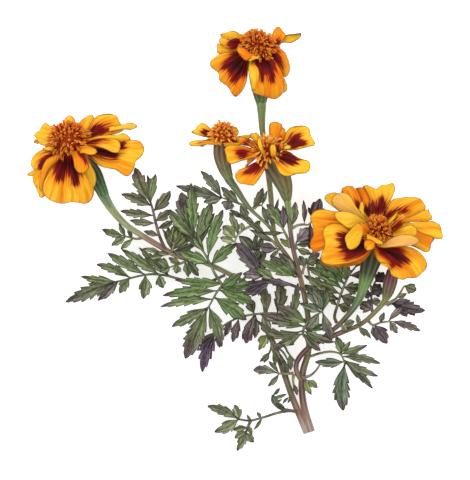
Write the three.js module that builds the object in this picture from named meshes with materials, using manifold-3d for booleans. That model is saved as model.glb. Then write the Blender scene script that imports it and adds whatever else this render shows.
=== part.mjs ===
// A cut flowering stem of French marigold, lying on a table, in millimetres.
// +Z is up from the table, +Y runs from the cut end towards the highest bloom, and the origin is on the
// table under the middle of the sprig. One forked stem carries five blooms, one bud and the divided leaves.
import * as THREE from "three";
import { mergeVertices } from "three/addons/utils/BufferGeometryUtils.js";
import Module from "manifold-3d";

const wasm = await Module();
wasm.setup();

// Driving dimensions
const BLADE = 0.6; // thickness of a petal or a leaflet
const GAP = 0.3; // clearance between neighbouring pieces
const FINEST = 0.02; // shortest edge that a join or a cut leaves
const LEAF_BLADE = 0.7; // thickness of a leaf, straight up
const RIB_WIDTH = 1.5; // leaf rib where it leaves the stem
const RIB_TIP = 0.6; // share of that width left at the rib's end
const RIB_SUNK = 1; // how far a rib runs on into its stem before it is cut to it
const STEM_SIDES = 6;
const CUP_SIDES = 10;
const CUP_RIBS = 0.08; // how far every other side of a cup is drawn in
const CUP_STEPS = 2; // rings of a cup for each stretch of its route
const DOME_SIDES = 10;
const DOME_RINGS = 3;
const FLORET_MOUTH = 0.62; // size of a floret's end, as a share of its foot
const FLORET_ROOM = 1; // clearance that the rays keep from the dome
const FLORET_LEAN = 0.3; // how far the outermost florets lean outwards
const PLATE = 1.6; // thickness of the plate that the rays grow from, in an upper and a lower layer
const PLATE_RIM = 1.7; // how far it reaches past the disc
const RAY_ROOT = 0.9; // how far past the disc the rays start
const SEAT = 1.1; // height of the disc above the middle of the plate
const UNDER_RAYS = -6; // a ray whose tip lies this far behind the plate grows from its lower layer
const TABLE = 0; // height of the surface under the sprig
const MIDDLE = [-0.7, 0.325]; // middle of the sprig, in the x and y that its routes and tips are given in

// Stem routes, each point as x, y, z and radius.
const STEMS = {
  right: [
    [34.8, -86.5, 2.0, 2.0], [32, -77, 3.2, 1.75], [30.6, -67, 5, 1.6], [31.2, -59, 7, 1.6],
    [33.4, -51, 9, 1.5], [34, -41, 11.5, 1.35], [32.5, -29, 14, 1.3], [29.8, -16.5, 16.5, 1.3],
    [27, -4, 18.5, 1.25], [25.6, 8, 20, 1.35], [24.7, 17.4, 20.8, 2.1],
  ],
  left: [
    [33, -87, 1.9, 1.9], [29.6, -79, 3, 1.7], [26, -70, 4.5, 1.5], [22.6, -60, 6, 1.45],
    [18.2, -47.4, 7.5, 1.25], [14.6, -39, 8.4, 1.1], [14.2, -32, 9, 1.05], [12.6, -24.4, 9.5, 1.05],
    [4.6, -19, 10, 1.1], [-5, -13.8, 10.5, 1.2],
    [-15, -9.5, 11, 1.2], [-25, -7.3, 11.5, 1.25], [-33, -3, 12.5, 1.35], [-41, 1.8, 13.5, 1.4],
    [-48, 6.4, 14.4, 1.5], [-52.2, 10.4, 14.9, 1.7], [-55.6, 14.8, 15.2, 2], [-58, 18.8, 15.4, 2.4],
  ],
  small_bloom: [
    [29.8, -16.5, 16.5, 1.2], [24.8, -8.5, 18, 1.1], [19.8, -1.5, 19.5, 1], [16.8, 5, 20.5, 0.95],
    [12, 9.8, 21.3, 0.95], [8, 13.6, 22, 1.05], [4.6, 18, 22.6, 1.35], [1, 23, 23.3, 1.65],
    [-2, 27, 24, 2.05],
  ],
  top: [
    [18.4, 1.2, 20, 1.0], [17.5, 8, 17, 1.1], [17, 14, 13.5, 1.2], [16.2, 24, 10, 1.3],
    [14.2, 38, 9, 1.35], [12.8, 50, 11, 1.45], [12.5, 57, 12.8, 1.9], [12.4, 61, 13.4, 2.3],
  ],
  bud: [
    [30.7, -64, 5.8, 1.1], [28.3, -59.5, 8, 1.25], [28.2, -55.5, 10.5, 1.3], [31, -51, 13, 1.3],
    [36, -46.8, 13.5, 1.3], [43, -43.8, 13.3, 1.3], [50, -41, 13, 1.2], [57, -38, 13, 1.1],
    [62, -34, 13, 1.1], [66.3, -29.5, 13.3, 1.2], [67.9, -27.4, 13.5, 1.4],
  ],
  front: [
    [37.5, -46.2, 13.4, 1.15], [42.4, -42.2, 13.2, 1.15], [47.2, -38.2, 13.3, 1.2],
    [51.8, -33.2, 13.8, 1.35], [55.2, -28.6, 14.3, 1.65], [57.6, -23.4, 14.8, 2.2],
  ],
};

// Leaves. A rib is x, y, z from the stem outwards; a leaflet is the share of the rib where it leaves,
// its tip x, y, z and its width. A leaf with side ribs lists several such sprays.
const LEAVES = {
  leaf_upper_left: [{
    rib: [[-31.2, -3.6, 13.6], [-33.6, 2, 15.5], [-35.5, 9, 17.3], [-36.5, 13.5, 18.2], [-37.5, 17, 18.8]],
    leaflets: [
      [1, -44.5, 32.5, 19, 5], [0.98, -39, 29.4, 19.6, 2.4], [0.97, -35.2, 29.5, 19.5, 3.2],
      [0.8, -28.6, 22, 20, 4], [0.92, -50.5, 20.6, 18.5, 3.8], [0.72, -51, 13, 17.5, 3.1],
      [0.56, -46.8, 8.8, 16.5, 2.6], [0.6, -28.2, 13.6, 18, 3], [0.44, -27.4, 8.6, 17.5, 2.4],
      [0.28, -40.6, 4, 15.5, 1.9],
    ],
  }],
  leaf_small_left: [{
    rib: [[-41, 1, 12], [-44, 0.5, 11], [-47, 1.2, 10.3], [-49.5, 1.8, 10]],
    leaflets: [
      [1, -59.5, 4.8, 9.5, 2.7], [0.92, -51.8, 7.6, 9.5, 1.7], [0.9, -55.2, -2.5, 9.5, 2.6],
      [0.5, -51, -4, 10, 2],
    ],
  }],
  leaf_long_left: [{
    rib: [[-4, -15.8, 9.2], [-12, -17.3, 8.2], [-22, -16.5, 7.6], [-31, -15.5, 7.2], [-38, -15.5, 7],
      [-45, -16.8, 6.6], [-50, -18.2, 6.3], [-54, -19, 6]],
    leaflets: [
      [1, -76, -28, 1.5, 5.6], [0.96, -61.5, -27.4, 4, 3.4], [0.98, -69, -16.5, 5, 3.7],
      [0.85, -62, -11, 6, 4.1], [0.72, -57, -6, 7.5, 4.6], [0.6, -50.6, -4.2, 7.5, 4.6],
      [0.5, -42.8, -3.4, 8.5, 3.8], [0.86, -51.6, -24, 5, 4], [0.72, -41, -26.5, 5, 5.2],
      [0.6, -32, -21.6, 6, 4.2],
    ],
  }],
  leaf_pair_front: [
    {
      rib: [[-1.4, -17.6, 11.6], [-3.4, -19.4, 13.2], [-5.2, -20.4, 14], [-8, -24, 14], [-10.2, -28, 13.6],
        [-12, -31, 13]],
      leaflets: [
        [0.42, -26.5, -18, 12.5, 3.8], [0.52, -32, -25, 12, 5], [0.72, -33, -30, 10.5, 4.2],
        [0.95, -28, -39, 9.5, 4.8], [1, -22, -53.5, 7, 7.6], [0.93, -5.5, -48, 9, 5],
        [0.66, 5.6, -36, 12.6, 5.4], [0.44, 9.6, -28.6, 14.2, 4.8], [0.4, 12, -18.6, 14.8, 3.8],
        [0.38, 3.6, -14.6, 15.5, 3.4],
      ],
    },
    {
      rib: [[-5.2, -20.4, 14], [-8.6, -15.2, 15], [-11.6, -9, 16.4], [-13.8, -5.2, 17.2],
        [-16.4, -1.8, 18], [-18.4, 0.6, 18.6]],
      leaflets: [
        [1, -19.4, 25.6, 21.5, 4.8], [0.98, -23.6, 21.4, 20.2, 5.4], [0.93, -10.2, 16.6, 18.6, 4.8],
        [0.55, -5, 13.6, 19.5, 4.6], [0.42, 1.4, -1.4, 15.4, 4.2], [0.97, -29.6, 13.4, 20.6, 4.2],
        [0.46, -25.4, -4.8, 17, 4],
      ],
    },
  ],
  leaf_left_low: [{
    rib: [[-20.5, -9, 10.2], [-24, -10.6, 10.3], [-29, -12.3, 10.2]],
    leaflets: [
      [1, -35.4, -8.4, 10, 2.6], [0.95, -33.4, -14.4, 9.6, 2.4], [0.6, -26, -15, 9.6, 3],
      [0.2, -20.6, -16.6, 9.4, 2.6], [0.05, -16, -16.2, 9.6, 3],
    ],
  }],
  leaf_left_narrow: [{
    rib: [[-26.4, -6, 12.6], [-29, -6.4, 12.6], [-31.5, -6.6, 12.2]],
    leaflets: [[1, -41, -3.8, 11, 1.7], [0.9, -38.6, -8, 11, 2.2], [0.5, -35, -5.5, 13.8, 1.6]],
  }],
  leaf_left_upright: [{
    rib: [[-28, -5.2, 13], [-26.8, -1.5, 14.4], [-25, 2, 15.2]],
    leaflets: [
      [0.1, -32.4, 5, 15.5, 1.3], [0.3, -29.6, 5.6, 15.5, 2], [0.6, -26.6, 7.6, 16, 2.2],
      [0.5, -22.6, 8.6, 16, 2.6], [0.2, -20, 4.4, 15.6, 2.4], [0.05, -15.6, -0.4, 14.8, 2.2],
    ],
  }],
  leaf_purple_centre: [{
    rib: [[31, -22.6, 17.3], [27, -20.7, 18], [21, -18.6, 18.6], [17, -17.6, 18.8]],
    leaflets: [
      [1, 0.6, -1.4, 20, 5.6], [0.98, 4.6, -15.4, 19, 3.8], [0.93, 4.6, -24.2, 17.6, 5],
      [0.22, 10.2, -9, 21.2, 3.8], [0.8, 9.6, -12.6, 20.2, 2.8], [0.08, 16.4, -9, 20.7, 3.6],
    ],
  }],
  leaf_lower_centre: [{
    rib: [[33.2, -45, 13.6], [31, -42, 15.5], [32.5, -37.8, 16.4], [36, -34.3, 17.2], [40, -32, 17.6]],
    leaflets: [
      [0.5, 19.2, -29.4, 15.5, 5.2], [0.4, 11.8, -33.4, 14.6, 4.6], [0.25, 10, -38.6, 13.6, 3.6],
      [0.22, 21.6, -47.8, 13.5, 4.4], [0.24, 38.8, -49.8, 16, 3.6], [0.3, 45, -46, 17, 3.4],
      [0.36, 40.6, -40.2, 16.4, 2.2], [0.96, 29.4, -28.4, 18.5, 2.8], [1, 34.6, -21.6, 18.6, 2.6],
      [1, 41.6, -21.4, 18, 2.4], [0.98, 44.4, -44.6, 18.4, 3.8],
    ],
  }],
  leaf_hanging: [{
    rib: [[32.4, -36, 12.2], [26.4, -35.6, 12], [20, -33.3, 12], [12, -33.2, 11.9], [4, -34.5, 9.6],
      [-3, -37.5, 6.6], [-8.5, -42, 4.6]],
    leaflets: [
      [0.15, 28.8, -19.4, 12.5, 3.2], [0.3, 20.6, -17.4, 12, 4.6], [0.4, 12.8, -19.4, 12.2, 3.6],
      [0.53, 5.8, -25, 12, 3.4], [0.45, 15.4, -41.4, 13.2, 3.4], [0.53, 5.4, -46.6, 8, 4.6],
      [0.7, -0.6, -46, 6.5, 3.2], [0.78, -4.2, -43.6, 6.5, 2.2], [1, -14.4, -59.6, 0.6, 4.8],
      [0.97, -17.2, -48.6, 3, 2.6], [0.96, -6.4, -48.6, 3.4, 2.4],
    ],
  }],
  leaf_low_left: [{
    rib: [[19.4, -50.4, 9], [17, -46.6, 10.4], [14.8, -42.6, 11]],
    leaflets: [
      [0.9, 11.4, -49.6, 9.5, 3.4], [0.5, 11.8, -55, 8, 2.3], [0.3, 18.4, -55.4, 8.8, 1.9],
      [0.15, 26.6, -54.4, 9.8, 2.4], [1, 13.6, -36.6, 11.4, 3.4],
    ],
  }],
  leaf_fork_low: [{
    rib: [[26.8, -60, 8.8], [23.5, -60.2, 9], [20, -60, 8.8]],
    leaflets: [
      [1, 9.4, -58, 7.6, 4.2], [0.95, 15.6, -55, 8.4, 2], [0.9, 15.4, -66, 7.6, 2.3],
      [0.1, 21.4, -54.4, 10.2, 2.4],
    ],
  }],
  leaf_fork_right: [{
    rib: [[32.2, -61, 8.6], [32.6, -62.4, 8.8]],
    leaflets: [[1, 35, -69.6, 6.5, 3], [1, 37.6, -66, 7.5, 3], [0, 39, -55.5, 10.4, 1.2]],
  }],
  leaf_bottom: [
    {
      rib: [[28.6, -77.4, 5.4], [25.5, -77.1, 5.9], [20, -78.2, 5], [13, -80.3, 3.8], [7, -81.6, 2.9],
        [2, -81, 2.4]],
      leaflets: [
        [1, -12, -75, 1.4, 3.6], [0.98, 0.3, -74.4, 2.6, 3.2], [1, -8.8, -86.8, 1, 4],
        [0.62, 10.4, -77.8, 4, 1.3],
      ],
    },
    {
      rib: [[7.6, -81.5, 2.9], [6.4, -84.2, 2.3], [5.2, -87.6, 1.8]],
      leaflets: [
        [1, 1.4, -96, 0.6, 3.2], [0.5, -0.2, -85.8, 2, 2.1], [0.8, 0.3, -89.6, 1.6, 2.3],
        [0.9, 8.8, -91.4, 1.4, 2.7], [0.4, 8, -87.8, 2.2, 1.5],
      ],
    },
    {
      rib: [[25.5, -77.1, 5.9], [20.5, -75.8, 7], [17.2, -72.6, 7.5], [17.4, -69.8, 7.8]],
      leaflets: [[1, 20.4, -67, 8.2, 1.4], [0.9, 24, -69.6, 8.6, 1.6]],
    },
  ],
  leaf_right_low: [{
    rib: [[35.2, -52.2, 10], [38, -51.2, 11], [44, -50.3, 11.2], [48, -51.5, 11], [50, -55.5, 10.4]],
    leaflets: [
      [1, 49.2, -77, 5, 7.2], [0.97, 36.6, -55, 9.6, 4.2], [0.8, 46, -43.6, 10.4, 3.2],
      [0.78, 60, -47.4, 10.5, 3.2], [0.74, 52.4, -45.8, 11, 1.7], [0.84, 66, -55.6, 8.6, 3.8],
      [0.92, 65, -61.4, 7.6, 3.8], [0.97, 62.6, -67, 6.6, 3.6],
    ],
  }],
  leaf_right_end: [{
    rib: [[60.6, -36.6, 12.2], [62.5, -38.3, 12], [66, -37.2, 12.2], [70.5, -36.6, 12.4]],
    leaflets: [
      [1, 84, -41, 10.4, 2.8], [0.9, 76.2, -29.8, 15, 2.2], [0.95, 73.6, -42, 10.6, 2.6],
      [0.3, 69, -46.6, 10, 4.8], [0.25, 63.6, -44.2, 10.6, 1.7], [0.55, 67.6, -32.6, 14.6, 1.8],
    ],
  }],
  leaf_bud_right: [{
    rib: [[68.9, -29.4, 12.4], [71, -28.6, 12.2]],
    leaflets: [[1, 85.6, -31.8, 10.5, 6.4], [1, 79.4, -27.2, 13, 2]],
  }],
  leaf_bud_curl: [{
    rib: [[67.8, -29, 14.2], [72.8, -26.4, 13.6], [76.8, -20.6, 12.6]],
    leaflets: [[1, 82, -22.6, 12.5, 3.8], [0.5, 77.8, -24, 12.6, 1.6]],
  }],
  leaf_right_middle: [{
    rib: [[46.2, -37.2, 12.2], [45.3, -34.8, 11.2], [46.6, -29.5, 10.6], [48.7, -23, 10.5],
      [51.4, -16.5, 10.5], [54.4, -12.5, 10.5]],
    leaflets: [
      [0.68, 35.4, -8.4, 13, 5.4], [0.58, 32.6, -12.2, 13.2, 3.4], [0.74, 46.4, -9.6, 12.6, 5],
      [0.84, 64, -15, 8.6, 3.8], [0.62, 58.4, -21.8, 8.8, 4.6], [0.48, 56.4, -28, 8.8, 4.6],
      [0.32, 53.4, -32, 9.4, 3.6], [0.5, 31.6, -16, 12.6, 3], [0.42, 30.8, -20.4, 12, 3.8],
      [0.3, 42.4, -25.4, 10.8, 2], [1, 58.5, -5, 9, 3.4],
    ],
  }],
  leaf_behind_right: [{
    rib: [[62.3, -32.4, 11.8], [62, -28, 10.8], [62, -23.5, 10], [63.5, -19, 9.4]],
    leaflets: [
      [0.7, 67, -22, 8.6, 4.2], [0.05, 56.4, -28.6, 9.4, 4.6], [1, 67.6, -14.6, 8.6, 4],
      [0.3, 66, -27.4, 9.8, 2.8], [0.6, 58.4, -24.6, 9, 3.4], [0.55, 66, -19.8, 8.8, 4.4],
    ],
  }],
  leaf_right_upper: [{
    rib: [[27.6, 5.4, 19.4], [29.5, 6.8, 19], [33, 6.9, 17.6], [35.4, 9, 16.4]],
    leaflets: [[1, 38, 18.8, 14.5, 6.6], [0.55, 31.2, 18, 19.4, 1.7], [0.85, 34.2, -4, 14.6, 3.6]],
  }],
  leaf_right_purple: [{
    rib: [[28.8, -4.6, 18.2], [29.8, -2, 18.6]],
    leaflets: [[1, 33.4, 5, 20.6, 5.4], [0.9, 34.8, -2, 17, 2.6], [0.2, 34.8, -6.4, 16.4, 3.2]],
  }],
  leaf_under_front: [{
    rib: [[30.6, -15.4, 16.2], [31.6, -12, 15.8], [33.6, -8.4, 15.4], [36, -4.8, 15]],
    leaflets: [[0.3, 29.4, -7.2, 15.4, 2.8], [0.45, 37.6, -9, 13.8, 2.8]],
  }],
  leaf_front_low: [{
    rib: [[47.4, -38.6, 14.4], [52, -38.9, 15.2], [57, -39.2, 15.4]],
    leaflets: [
      [1, 61.6, -44.2, 14.2, 1.6], [0.9, 55.4, -33.6, 15.2, 1.6], [0.2, 54.2, -36.6, 15.6, 2.8],
      [0.1, 50.6, -41.2, 15.4, 2],
    ],
  }],
  leaf_top_left: [{
    rib: [[6.4, 14.4, 21.8], [2.4, 16.3, 21.2], [-1.5, 17.8, 21], [-5.6, 19, 21]],
    leaflets: [
      [1, -26, 24.3, 17.4, 3.8], [0.98, -15, 31, 22.4, 3.5], [0.97, -13.6, 17, 22.6, 3.1],
      [0.35, -5.6, 23.8, 24.4, 3.4], [0.7, -3.4, 13.6, 20, 4.4], [0.32, 6, 9.4, 19, 3],
    ],
  }],
  leaf_centre_light: [
    {
      rib: [[17.2, 0.8, 19], [13, 3.2, 17.8], [9, 6.8, 17.4], [4, 10, 17.2]],
      leaflets: [
        [1, -2, 13.4, 16.6, 2.4], [0.02, 7.2, 4.6, 17.4, 2.2], [0.4, 8, 1.4, 16.4, 1.8],
        [0.45, 3.6, 8.4, 18.8, 2.6], [0.5, 11.4, 8.6, 17.6, 2.2],
      ],
    },
    {
      rib: [[9, 6.8, 17.4], [4.5, 4.8, 17.6], [1.3, 1.8, 17.6], [0.4, -1, 17.6]],
      leaflets: [
        [0.7, -1.9, 12.6, 19.4, 2.4], [0.85, -5, 6.2, 18.6, 4.2], [0.5, 3.4, 7.8, 18.6, 2],
        [1, -6.2, 1, 18, 2.8],
      ],
    },
  ],
  leaf_centre_thin: [
    { rib: [[8.9, 14.8, 22.6], [9.6, 16.2, 23]], leaflets: [[0.3, 13.4, 22.6, 23.4, 3.2]] },
    {
      rib: [[9.2, 14.8, 22.6], [12.4, 15.8, 22.4]],
      leaflets: [[1, 14.8, 21.8, 22.6, 1.8], [0.95, 15.6, 8, 21.6, 1.8]],
    },
  ],
  leaf_centre_right: [{
    rib: [[24.4, 3.6, 19.8], [22.5, 6, 20.2], [20, 9.5, 20.2], [18, 12.5, 20]],
    leaflets: [
      [0.12, 15, 15.8, 20.4, 4.6], [0.9, 19.6, 16, 20.6, 2.2], [0.8, 13.4, 11.2, 18.6, 2.1],
      [0.2, 22.4, 14.8, 21.8, 3], [0.05, 12.8, 4, 23.4, 2.2], [0, 22.8, -4.8, 21, 2.2],
    ],
  }],
  leaf_cup_right: [{
    rib: [[27.2, 7.6, 20], [27.3, 9, 20]],
    leaflets: [[0.2, 28.6, 17.2, 20.6, 3.8], [0.5, 30.6, 11, 21, 1.6]],
  }],
  leaf_grey_centre: [{
    rib: [[20.4, -4.2, 18.2], [18, -3.9, 17.4]],
    leaflets: [[0.6, 10.8, -2.8, 16, 4.8], [0.3, 16.4, -7.4, 16.4, 2]],
  }],
  leaf_dark_oval: [{
    rib: [[3.6, -18.6, 11.4], [7, -14, 13], [8.7, -9.5, 14.4], [9, -5, 15]],
    leaflets: [
      [1, 2.2, 2.4, 15.6, 4.4], [0.98, 10.8, 3.6, 15, 3], [0.55, 11.2, -4.4, 14.4, 2.6],
      [0.35, 15.6, -4.6, 13.8, 3.2], [0.3, 21.6, -6.6, 13.6, 4.4],
    ],
  }],
};

// Blooms. centre is where the rays leave the head and facing is the way the disc looks. disc and dome are
// the disc's radius and height, floret is how far its florets stand out, and cup and cupRadii are the green
// cup from the head down to the stem. A ray petal is its tip x, y, z, its width, how far it bows out and how
// far its face is turned up (0 to 1).
const BLOOMS = {
  left: {
    centre: [-73.6, 42.4, 20], facing: [-0.28, 0.78, 0.56], disc: 7.4, dome: 8.5, floret: 3,
    cup: [[-73.1, 41, 19], [-69.4, 35, 15.6], [-64.2, 29, 14.9], [-60.8, 23.6, 15.2], [-58.2, 19.2, 15.4]],
    cupRadii: [5.6, 5.2, 4.3, 3.1, 2.5],
    petals: [
      [-74.5, 16.6, 27, 21, 5, 0.5], [-68, 30.4, 34, 7.4, 2, 0.6], [-64, 24.4, 22.5, 8, 3, 0.4],
      [-88.6, 23, 20, 12.5, 5, 0.4], [-93, 29.4, 14, 7, 3, 0.2], [-87, 19, 15.5, 7, 3, 0.2],
      [-90.2, 47, 14.5, 10, 1.5, 0.4], [-75, 56.4, 7, 8, 2, 0.3], [-64, 56.6, 9.5, 6.5, 2, 0.3],
      [-43.4, 51.4, 20, 10.5, 3, 0.5], [-46, 45, 22, 7, 2, 0.4], [-40.4, 39, 25, 15.5, 4, 0.75],
      [-52, 41.6, 31, 6.6, 2, 0.6], [-61, 39.2, 35, 4.6, 1.2, 0.5],
      [-76, 38, -1.5, 14, 4, 0], [-60, 47, -1.2, 13, 4, 0], [-88, 44, 2.4, 10, 4, 0],
    ],
  },
  top: {
    centre: [10.6, 84.2, 17.6], facing: [-0.02, 0.82, 0.57], disc: 6.4, dome: 7.6, floret: 2.7,
    cup: [[10.7, 82.8, 16.7], [11.2, 75.6, 14], [11.9, 68.2, 13.2], [12.3, 61.4, 13.4]],
    cupRadii: [4.8, 4.4, 3.5, 2.4],
    petals: [
      [-3, 66.6, 24.5, 16.5, 4, 0.6], [17.6, 63.6, 24.5, 15.5, 4, 0.55], [8.2, 66, 26.5, 4.5, 3, 0.5],
      [24.6, 75, 18, 9.5, 4, 0.5], [23.8, 67.4, 15.5, 6, 3, 0.3], [-7, 92.4, 12.5, 6.6, 1, 0.5],
      [-6.6, 88.6, 17, 6.4, 1, 0.5], [-7.8, 84.2, 14.5, 6, 2, 0.5], [6.8, 79.8, 30.5, 4.8, 1.4, 0.5],
      [20.2, 95.4, 11, 7, 1, 0.5], [30.6, 92.8, 14.5, 4.4, -1.5, 0.5],
      [3, 92, 1.8, 11, 3, 0], [15, 91, -1.6, 12, 3, 0], [10, 76, -1.4, 12, 4, 0],
    ],
  },
  small: {
    centre: [-5, 44.4, 27], facing: [0.02, 0.94, 0.34], disc: 4.6, dome: 6.2, floret: 2.2,
    cup: [[-5.2, 43, 26.4], [-5.4, 38, 25.2], [-4.2, 32.4, 24.4], [-2.2, 27.5, 24.1]],
    cupRadii: [4.2, 4.0, 3.2, 2.2],
    petals: [
      [-19.6, 48.6, 25, 8, 0.6, 0.55], [-20.6, 42.9, 28.5, 4, 1, 0.3], [8.6, 46.2, 19.6, 5, 0.8, 0.3],
      [1.8, 50.4, 22.6, 5.4, 0.5, 0.4], [5.4, 42.2, 20.4, 4.6, 0.8, 0.3], [-8, 49.6, 15, 8, 1, 0.1],
      [-14, 42, 18.6, 7, 1, 0.1],
    ],
  },
  middle: {
    centre: [15.6, 38.6, 26], facing: [-0.28, 0.64, 0.71], disc: 4.2, dome: 5.6, floret: 3.6,
    cup: [[15.9, 37.4, 24.6], [19.4, 31.4, 22.6], [22.8, 24.6, 21.4], [24.5, 18, 20.9]],
    cupRadii: [5.4, 5.2, 4.1, 2.2],
    petals: [
      [36.4, 44, 27, 11, 1, 0.7], [34, 32.6, 29.5, 10, 2, 0.6], [4.2, 26.2, 31.5, 9.4, 2, 0.6],
      [-4, 37, 33.4, 7.4, 2.6, 0.6], [17.6, 53, 23.5, 6, 0.4, 0.5], [22.2, 50.2, 21.5, 5.2, 0.6, 0.5],
      [8.2, 48, 25, 4.4, 0.4, 0.5], [26, 41.6, 33.6, 3.2, 1.4, 0.5], [1.4, 44.6, 29.6, 4.6, 0.8, 0.4],
      [20.6, 43.8, 34.6, 3.2, 0, 0.4],
      [26, 36, 16, 8, 1, 0], [6, 34, 17, 8, 1, 0],
    ],
  },
  front: {
    centre: [64.6, 2.8, 22], facing: [0.06, 0.66, 0.75], disc: 5, dome: 3.2, floret: 2.6,
    cup: [[64.3, 1.5, 20.7], [62.2, -6.6, 17.2], [60, -15.2, 15.4], [57.9, -22.6, 14.8]],
    cupRadii: [5.4, 4.9, 3.5, 2.3],
    petals: [
      [83.4, -13.6, 28, 16, 3.5, 0.65], [41.6, -7.6, 29, 17.5, 4, 0.65], [35, 4, 25.5, 17.5, 3, 0.7],
      [41.4, 19.6, 19, 8.6, 1, 0.6], [47, 20.4, 24, 9.6, -1.5, 0.6],
      [45, 10.2, 30.5, 7.6, 1, 0.7], [52.2, -4, 36, 7.4, 1, 0.7], [60, -3.6, 36, 4.6, 1.6, 0.5],
      [82.6, 0.2, 35, 5.4, 1.2, 0.6], [81, 5.6, 32.5, 5.2, 0.8, 0.6],
      [67.4, 25, 12.5, 13.5, 0.6, 0.7], [53, 24, 15, 10, 0.4, 0.6],
      [83.4, 18, 15, 11, 1, 0.65], [88.2, 11.4, 19.5, 8, 1.4, 0.6], [93.9, 3, 22.5, 9.6, 1.2, 0.7],
      [87, -4.4, 24, 9, 1.6, 0.5],
      [70, 18, -1.6, 14, 4, 0], [54, 12, -1.4, 14, 5, 0], [80, 4, -1.2, 14, 5, 0],
    ],
  },
};

// The bud: its green cup with the tips of packed rays coming out of it.
const BUD = {
  cup: [[68.1, -27, 13.5], [69.2, -23.4, 13.6], [70.4, -18.6, 13.8], [71.4, -14.6, 14]],
  cupRadii: [1.6, 2.8, 3.3, 2.9],
  rays: [[71.5, -14.2, 14], [72.2, -11.4, 14.2], [73, -8, 14.4]],
  rayRadii: [2.5, 2.3, 0.7],
};

// Outlines, as the share of the length and the share of the full width.
const BROAD_LEAFLET = [[0, 0.12], [0.34, 0.9], [0.42, 0.64], [0.62, 1], [0.71, 0.56]];
const MIDDLE_LEAFLET = [[0, 0.14], [0.48, 1], [0.57, 0.62]];
const NARROW_LEAFLET = [[0, 0.24], [0.5, 1]];
const BROAD_PETAL = [[0, 0.2], [0.34, 0.72], [0.74, 1], [1, 0.68]];
const NARROW_PETAL = [[0, 0.3], [0.6, 1], [0.94, 0.6]];
const BROAD_FROM = 5.3; // leaflets at least this wide get the broad outline
const MIDDLE_FROM = 3;
const BROAD_PETAL_FROM = 7.5;
const LEAFLET_ARCH = 0.05; // rise of a leaflet's middle, as a share of its length
const HEIGHT_BLUR = 1; // how softly a leaf passes from one height to the next, in square mm
const PETAL_CUP = 0.1; // rise of a petal's edges, as a share of its width
const PETAL_CROWN = 0.07; // how far a petal's middle reaches past its shoulders
const PRISM_HEIGHT = 1; // height of a leaf's flat parts while they are joined
const SAME_POINT = 1e-4; // corners nearer than this are one corner

const GREEN = { color: 0x4f6b3c, roughness: 0.7 };
const STEM = { color: 0x7d8150, roughness: 0.65 };
const CUP = { color: 0x5f6a40, roughness: 0.6 };
const ORANGE = { color: 0xf2a11f, roughness: 0.55 };
const DISC = { color: 0xc26a1c, roughness: 0.7 };

const vector = ([x, y, z]) => new THREE.Vector3(x, y, z);
const UP = new THREE.Vector3(0, 0, 1);

// A closed solid from its corners and triangles.
function solid(corners, triangles) {
  const vertProperties = new Float32Array(corners.flatMap((p) => [p.x, p.y, p.z]));
  const triVerts = new Uint32Array(triangles);
  return new wasm.Manifold(new wasm.Mesh({ numProp: 3, vertProperties, triVerts, tolerance: FINEST }));
}

// A stem along a smooth route; ribs, if given, swell every other side.
function tube(route, radii, sides, perSpan = 1, ribs = 0) {
  const curve = new THREE.CatmullRomCurve3(route.map(vector), false, "centripetal");
  const steps = (route.length - 1) * perSpan;
  const corners = [];
  for (let i = 0; i <= steps; i++) {
    const t = i / steps;
    const place = Math.min(Math.floor(t * (route.length - 1)), route.length - 2);
    const radius = THREE.MathUtils.lerp(radii[place], radii[place + 1], t * (route.length - 1) - place);
    const along = curve.getTangent(t);
    const across = UP.clone().addScaledVector(along, -UP.dot(along)).normalize();
    const side = along.clone().cross(across);
    for (let k = 0; k < sides; k++) {
      const turn = (k / sides) * 2 * Math.PI;
      const r = radius * (k % 2 ? 1 - ribs : 1);
      corners.push(curve.getPoint(t).addScaledVector(across, r * Math.cos(turn))
        .addScaledVector(side, r * Math.sin(turn)));
    }
  }
  const triangles = [];
  for (let i = 0; i < steps; i++)
    for (let k = 0; k < sides; k++) {
      const [a, b] = [i * sides + k, i * sides + ((k + 1) % sides)];
      triangles.push(a, b, a + sides, b, b + sides, a + sides);
    }
  const last = steps * sides;
  for (let k = 1; k < sides - 1; k++) {
    triangles.push(0, k + 1, k);
    triangles.push(last, last + k, last + k + 1);
  }
  return solid(corners, triangles);
}

// Joins an upper skin to the same triangles on a lower one, with a wall along every open edge.
function closeSkins(upper, lower, skin) {
  const n = upper.length;
  const edges = new Set();
  for (let i = 0; i < skin.length; i += 3)
    for (let k = 0; k < 3; k++) edges.add(skin[i + k] * n + skin[i + ((k + 1) % 3)]);
  const triangles = [];
  for (let i = 0; i < skin.length; i += 3) {
    const [p, q, s] = skin.slice(i, i + 3);
    triangles.push(p, q, s, n + s, n + q, n + p);
    for (const [a, b] of [[p, q], [q, s], [s, p]])
      if (!edges.has(b * n + a)) triangles.push(b, a, n + a, b, n + a, n + b);
  }
  return solid([...upper, ...lower], triangles);
}

// A thin blade from rows of points on its middle surface, each row with its own face direction. A row
// holds as many points as the one before, or is a single tip.
function blade(rows) {
  const upper = [];
  const lower = [];
  const skin = [];
  let before = [];
  for (const { points, face } of rows) {
    const row = points.map((p) => {
      const a = p.clone().addScaledVector(face, BLADE / 2);
      const b = p.clone().addScaledVector(face, -BLADE / 2);
      const [high, low] = face.z >= 0 ? [a, b] : [b, a];
      low.z = Math.max(low.z, TABLE);
      high.z = Math.max(high.z, TABLE + BLADE * Math.abs(face.z));
      lower.push(b);
      return upper.push(a) - 1;
    });
    for (let c = 1; c < before.length; c++) {
      if (row.length > 1) skin.push(before[c - 1], row[c - 1], row[c]);
      skin.push(before[c - 1], row.length > 1 ? row[c] : row[0], before[c]);
    }
    before = row;
  }
  return closeSkins(upper, lower, skin);
}

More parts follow.
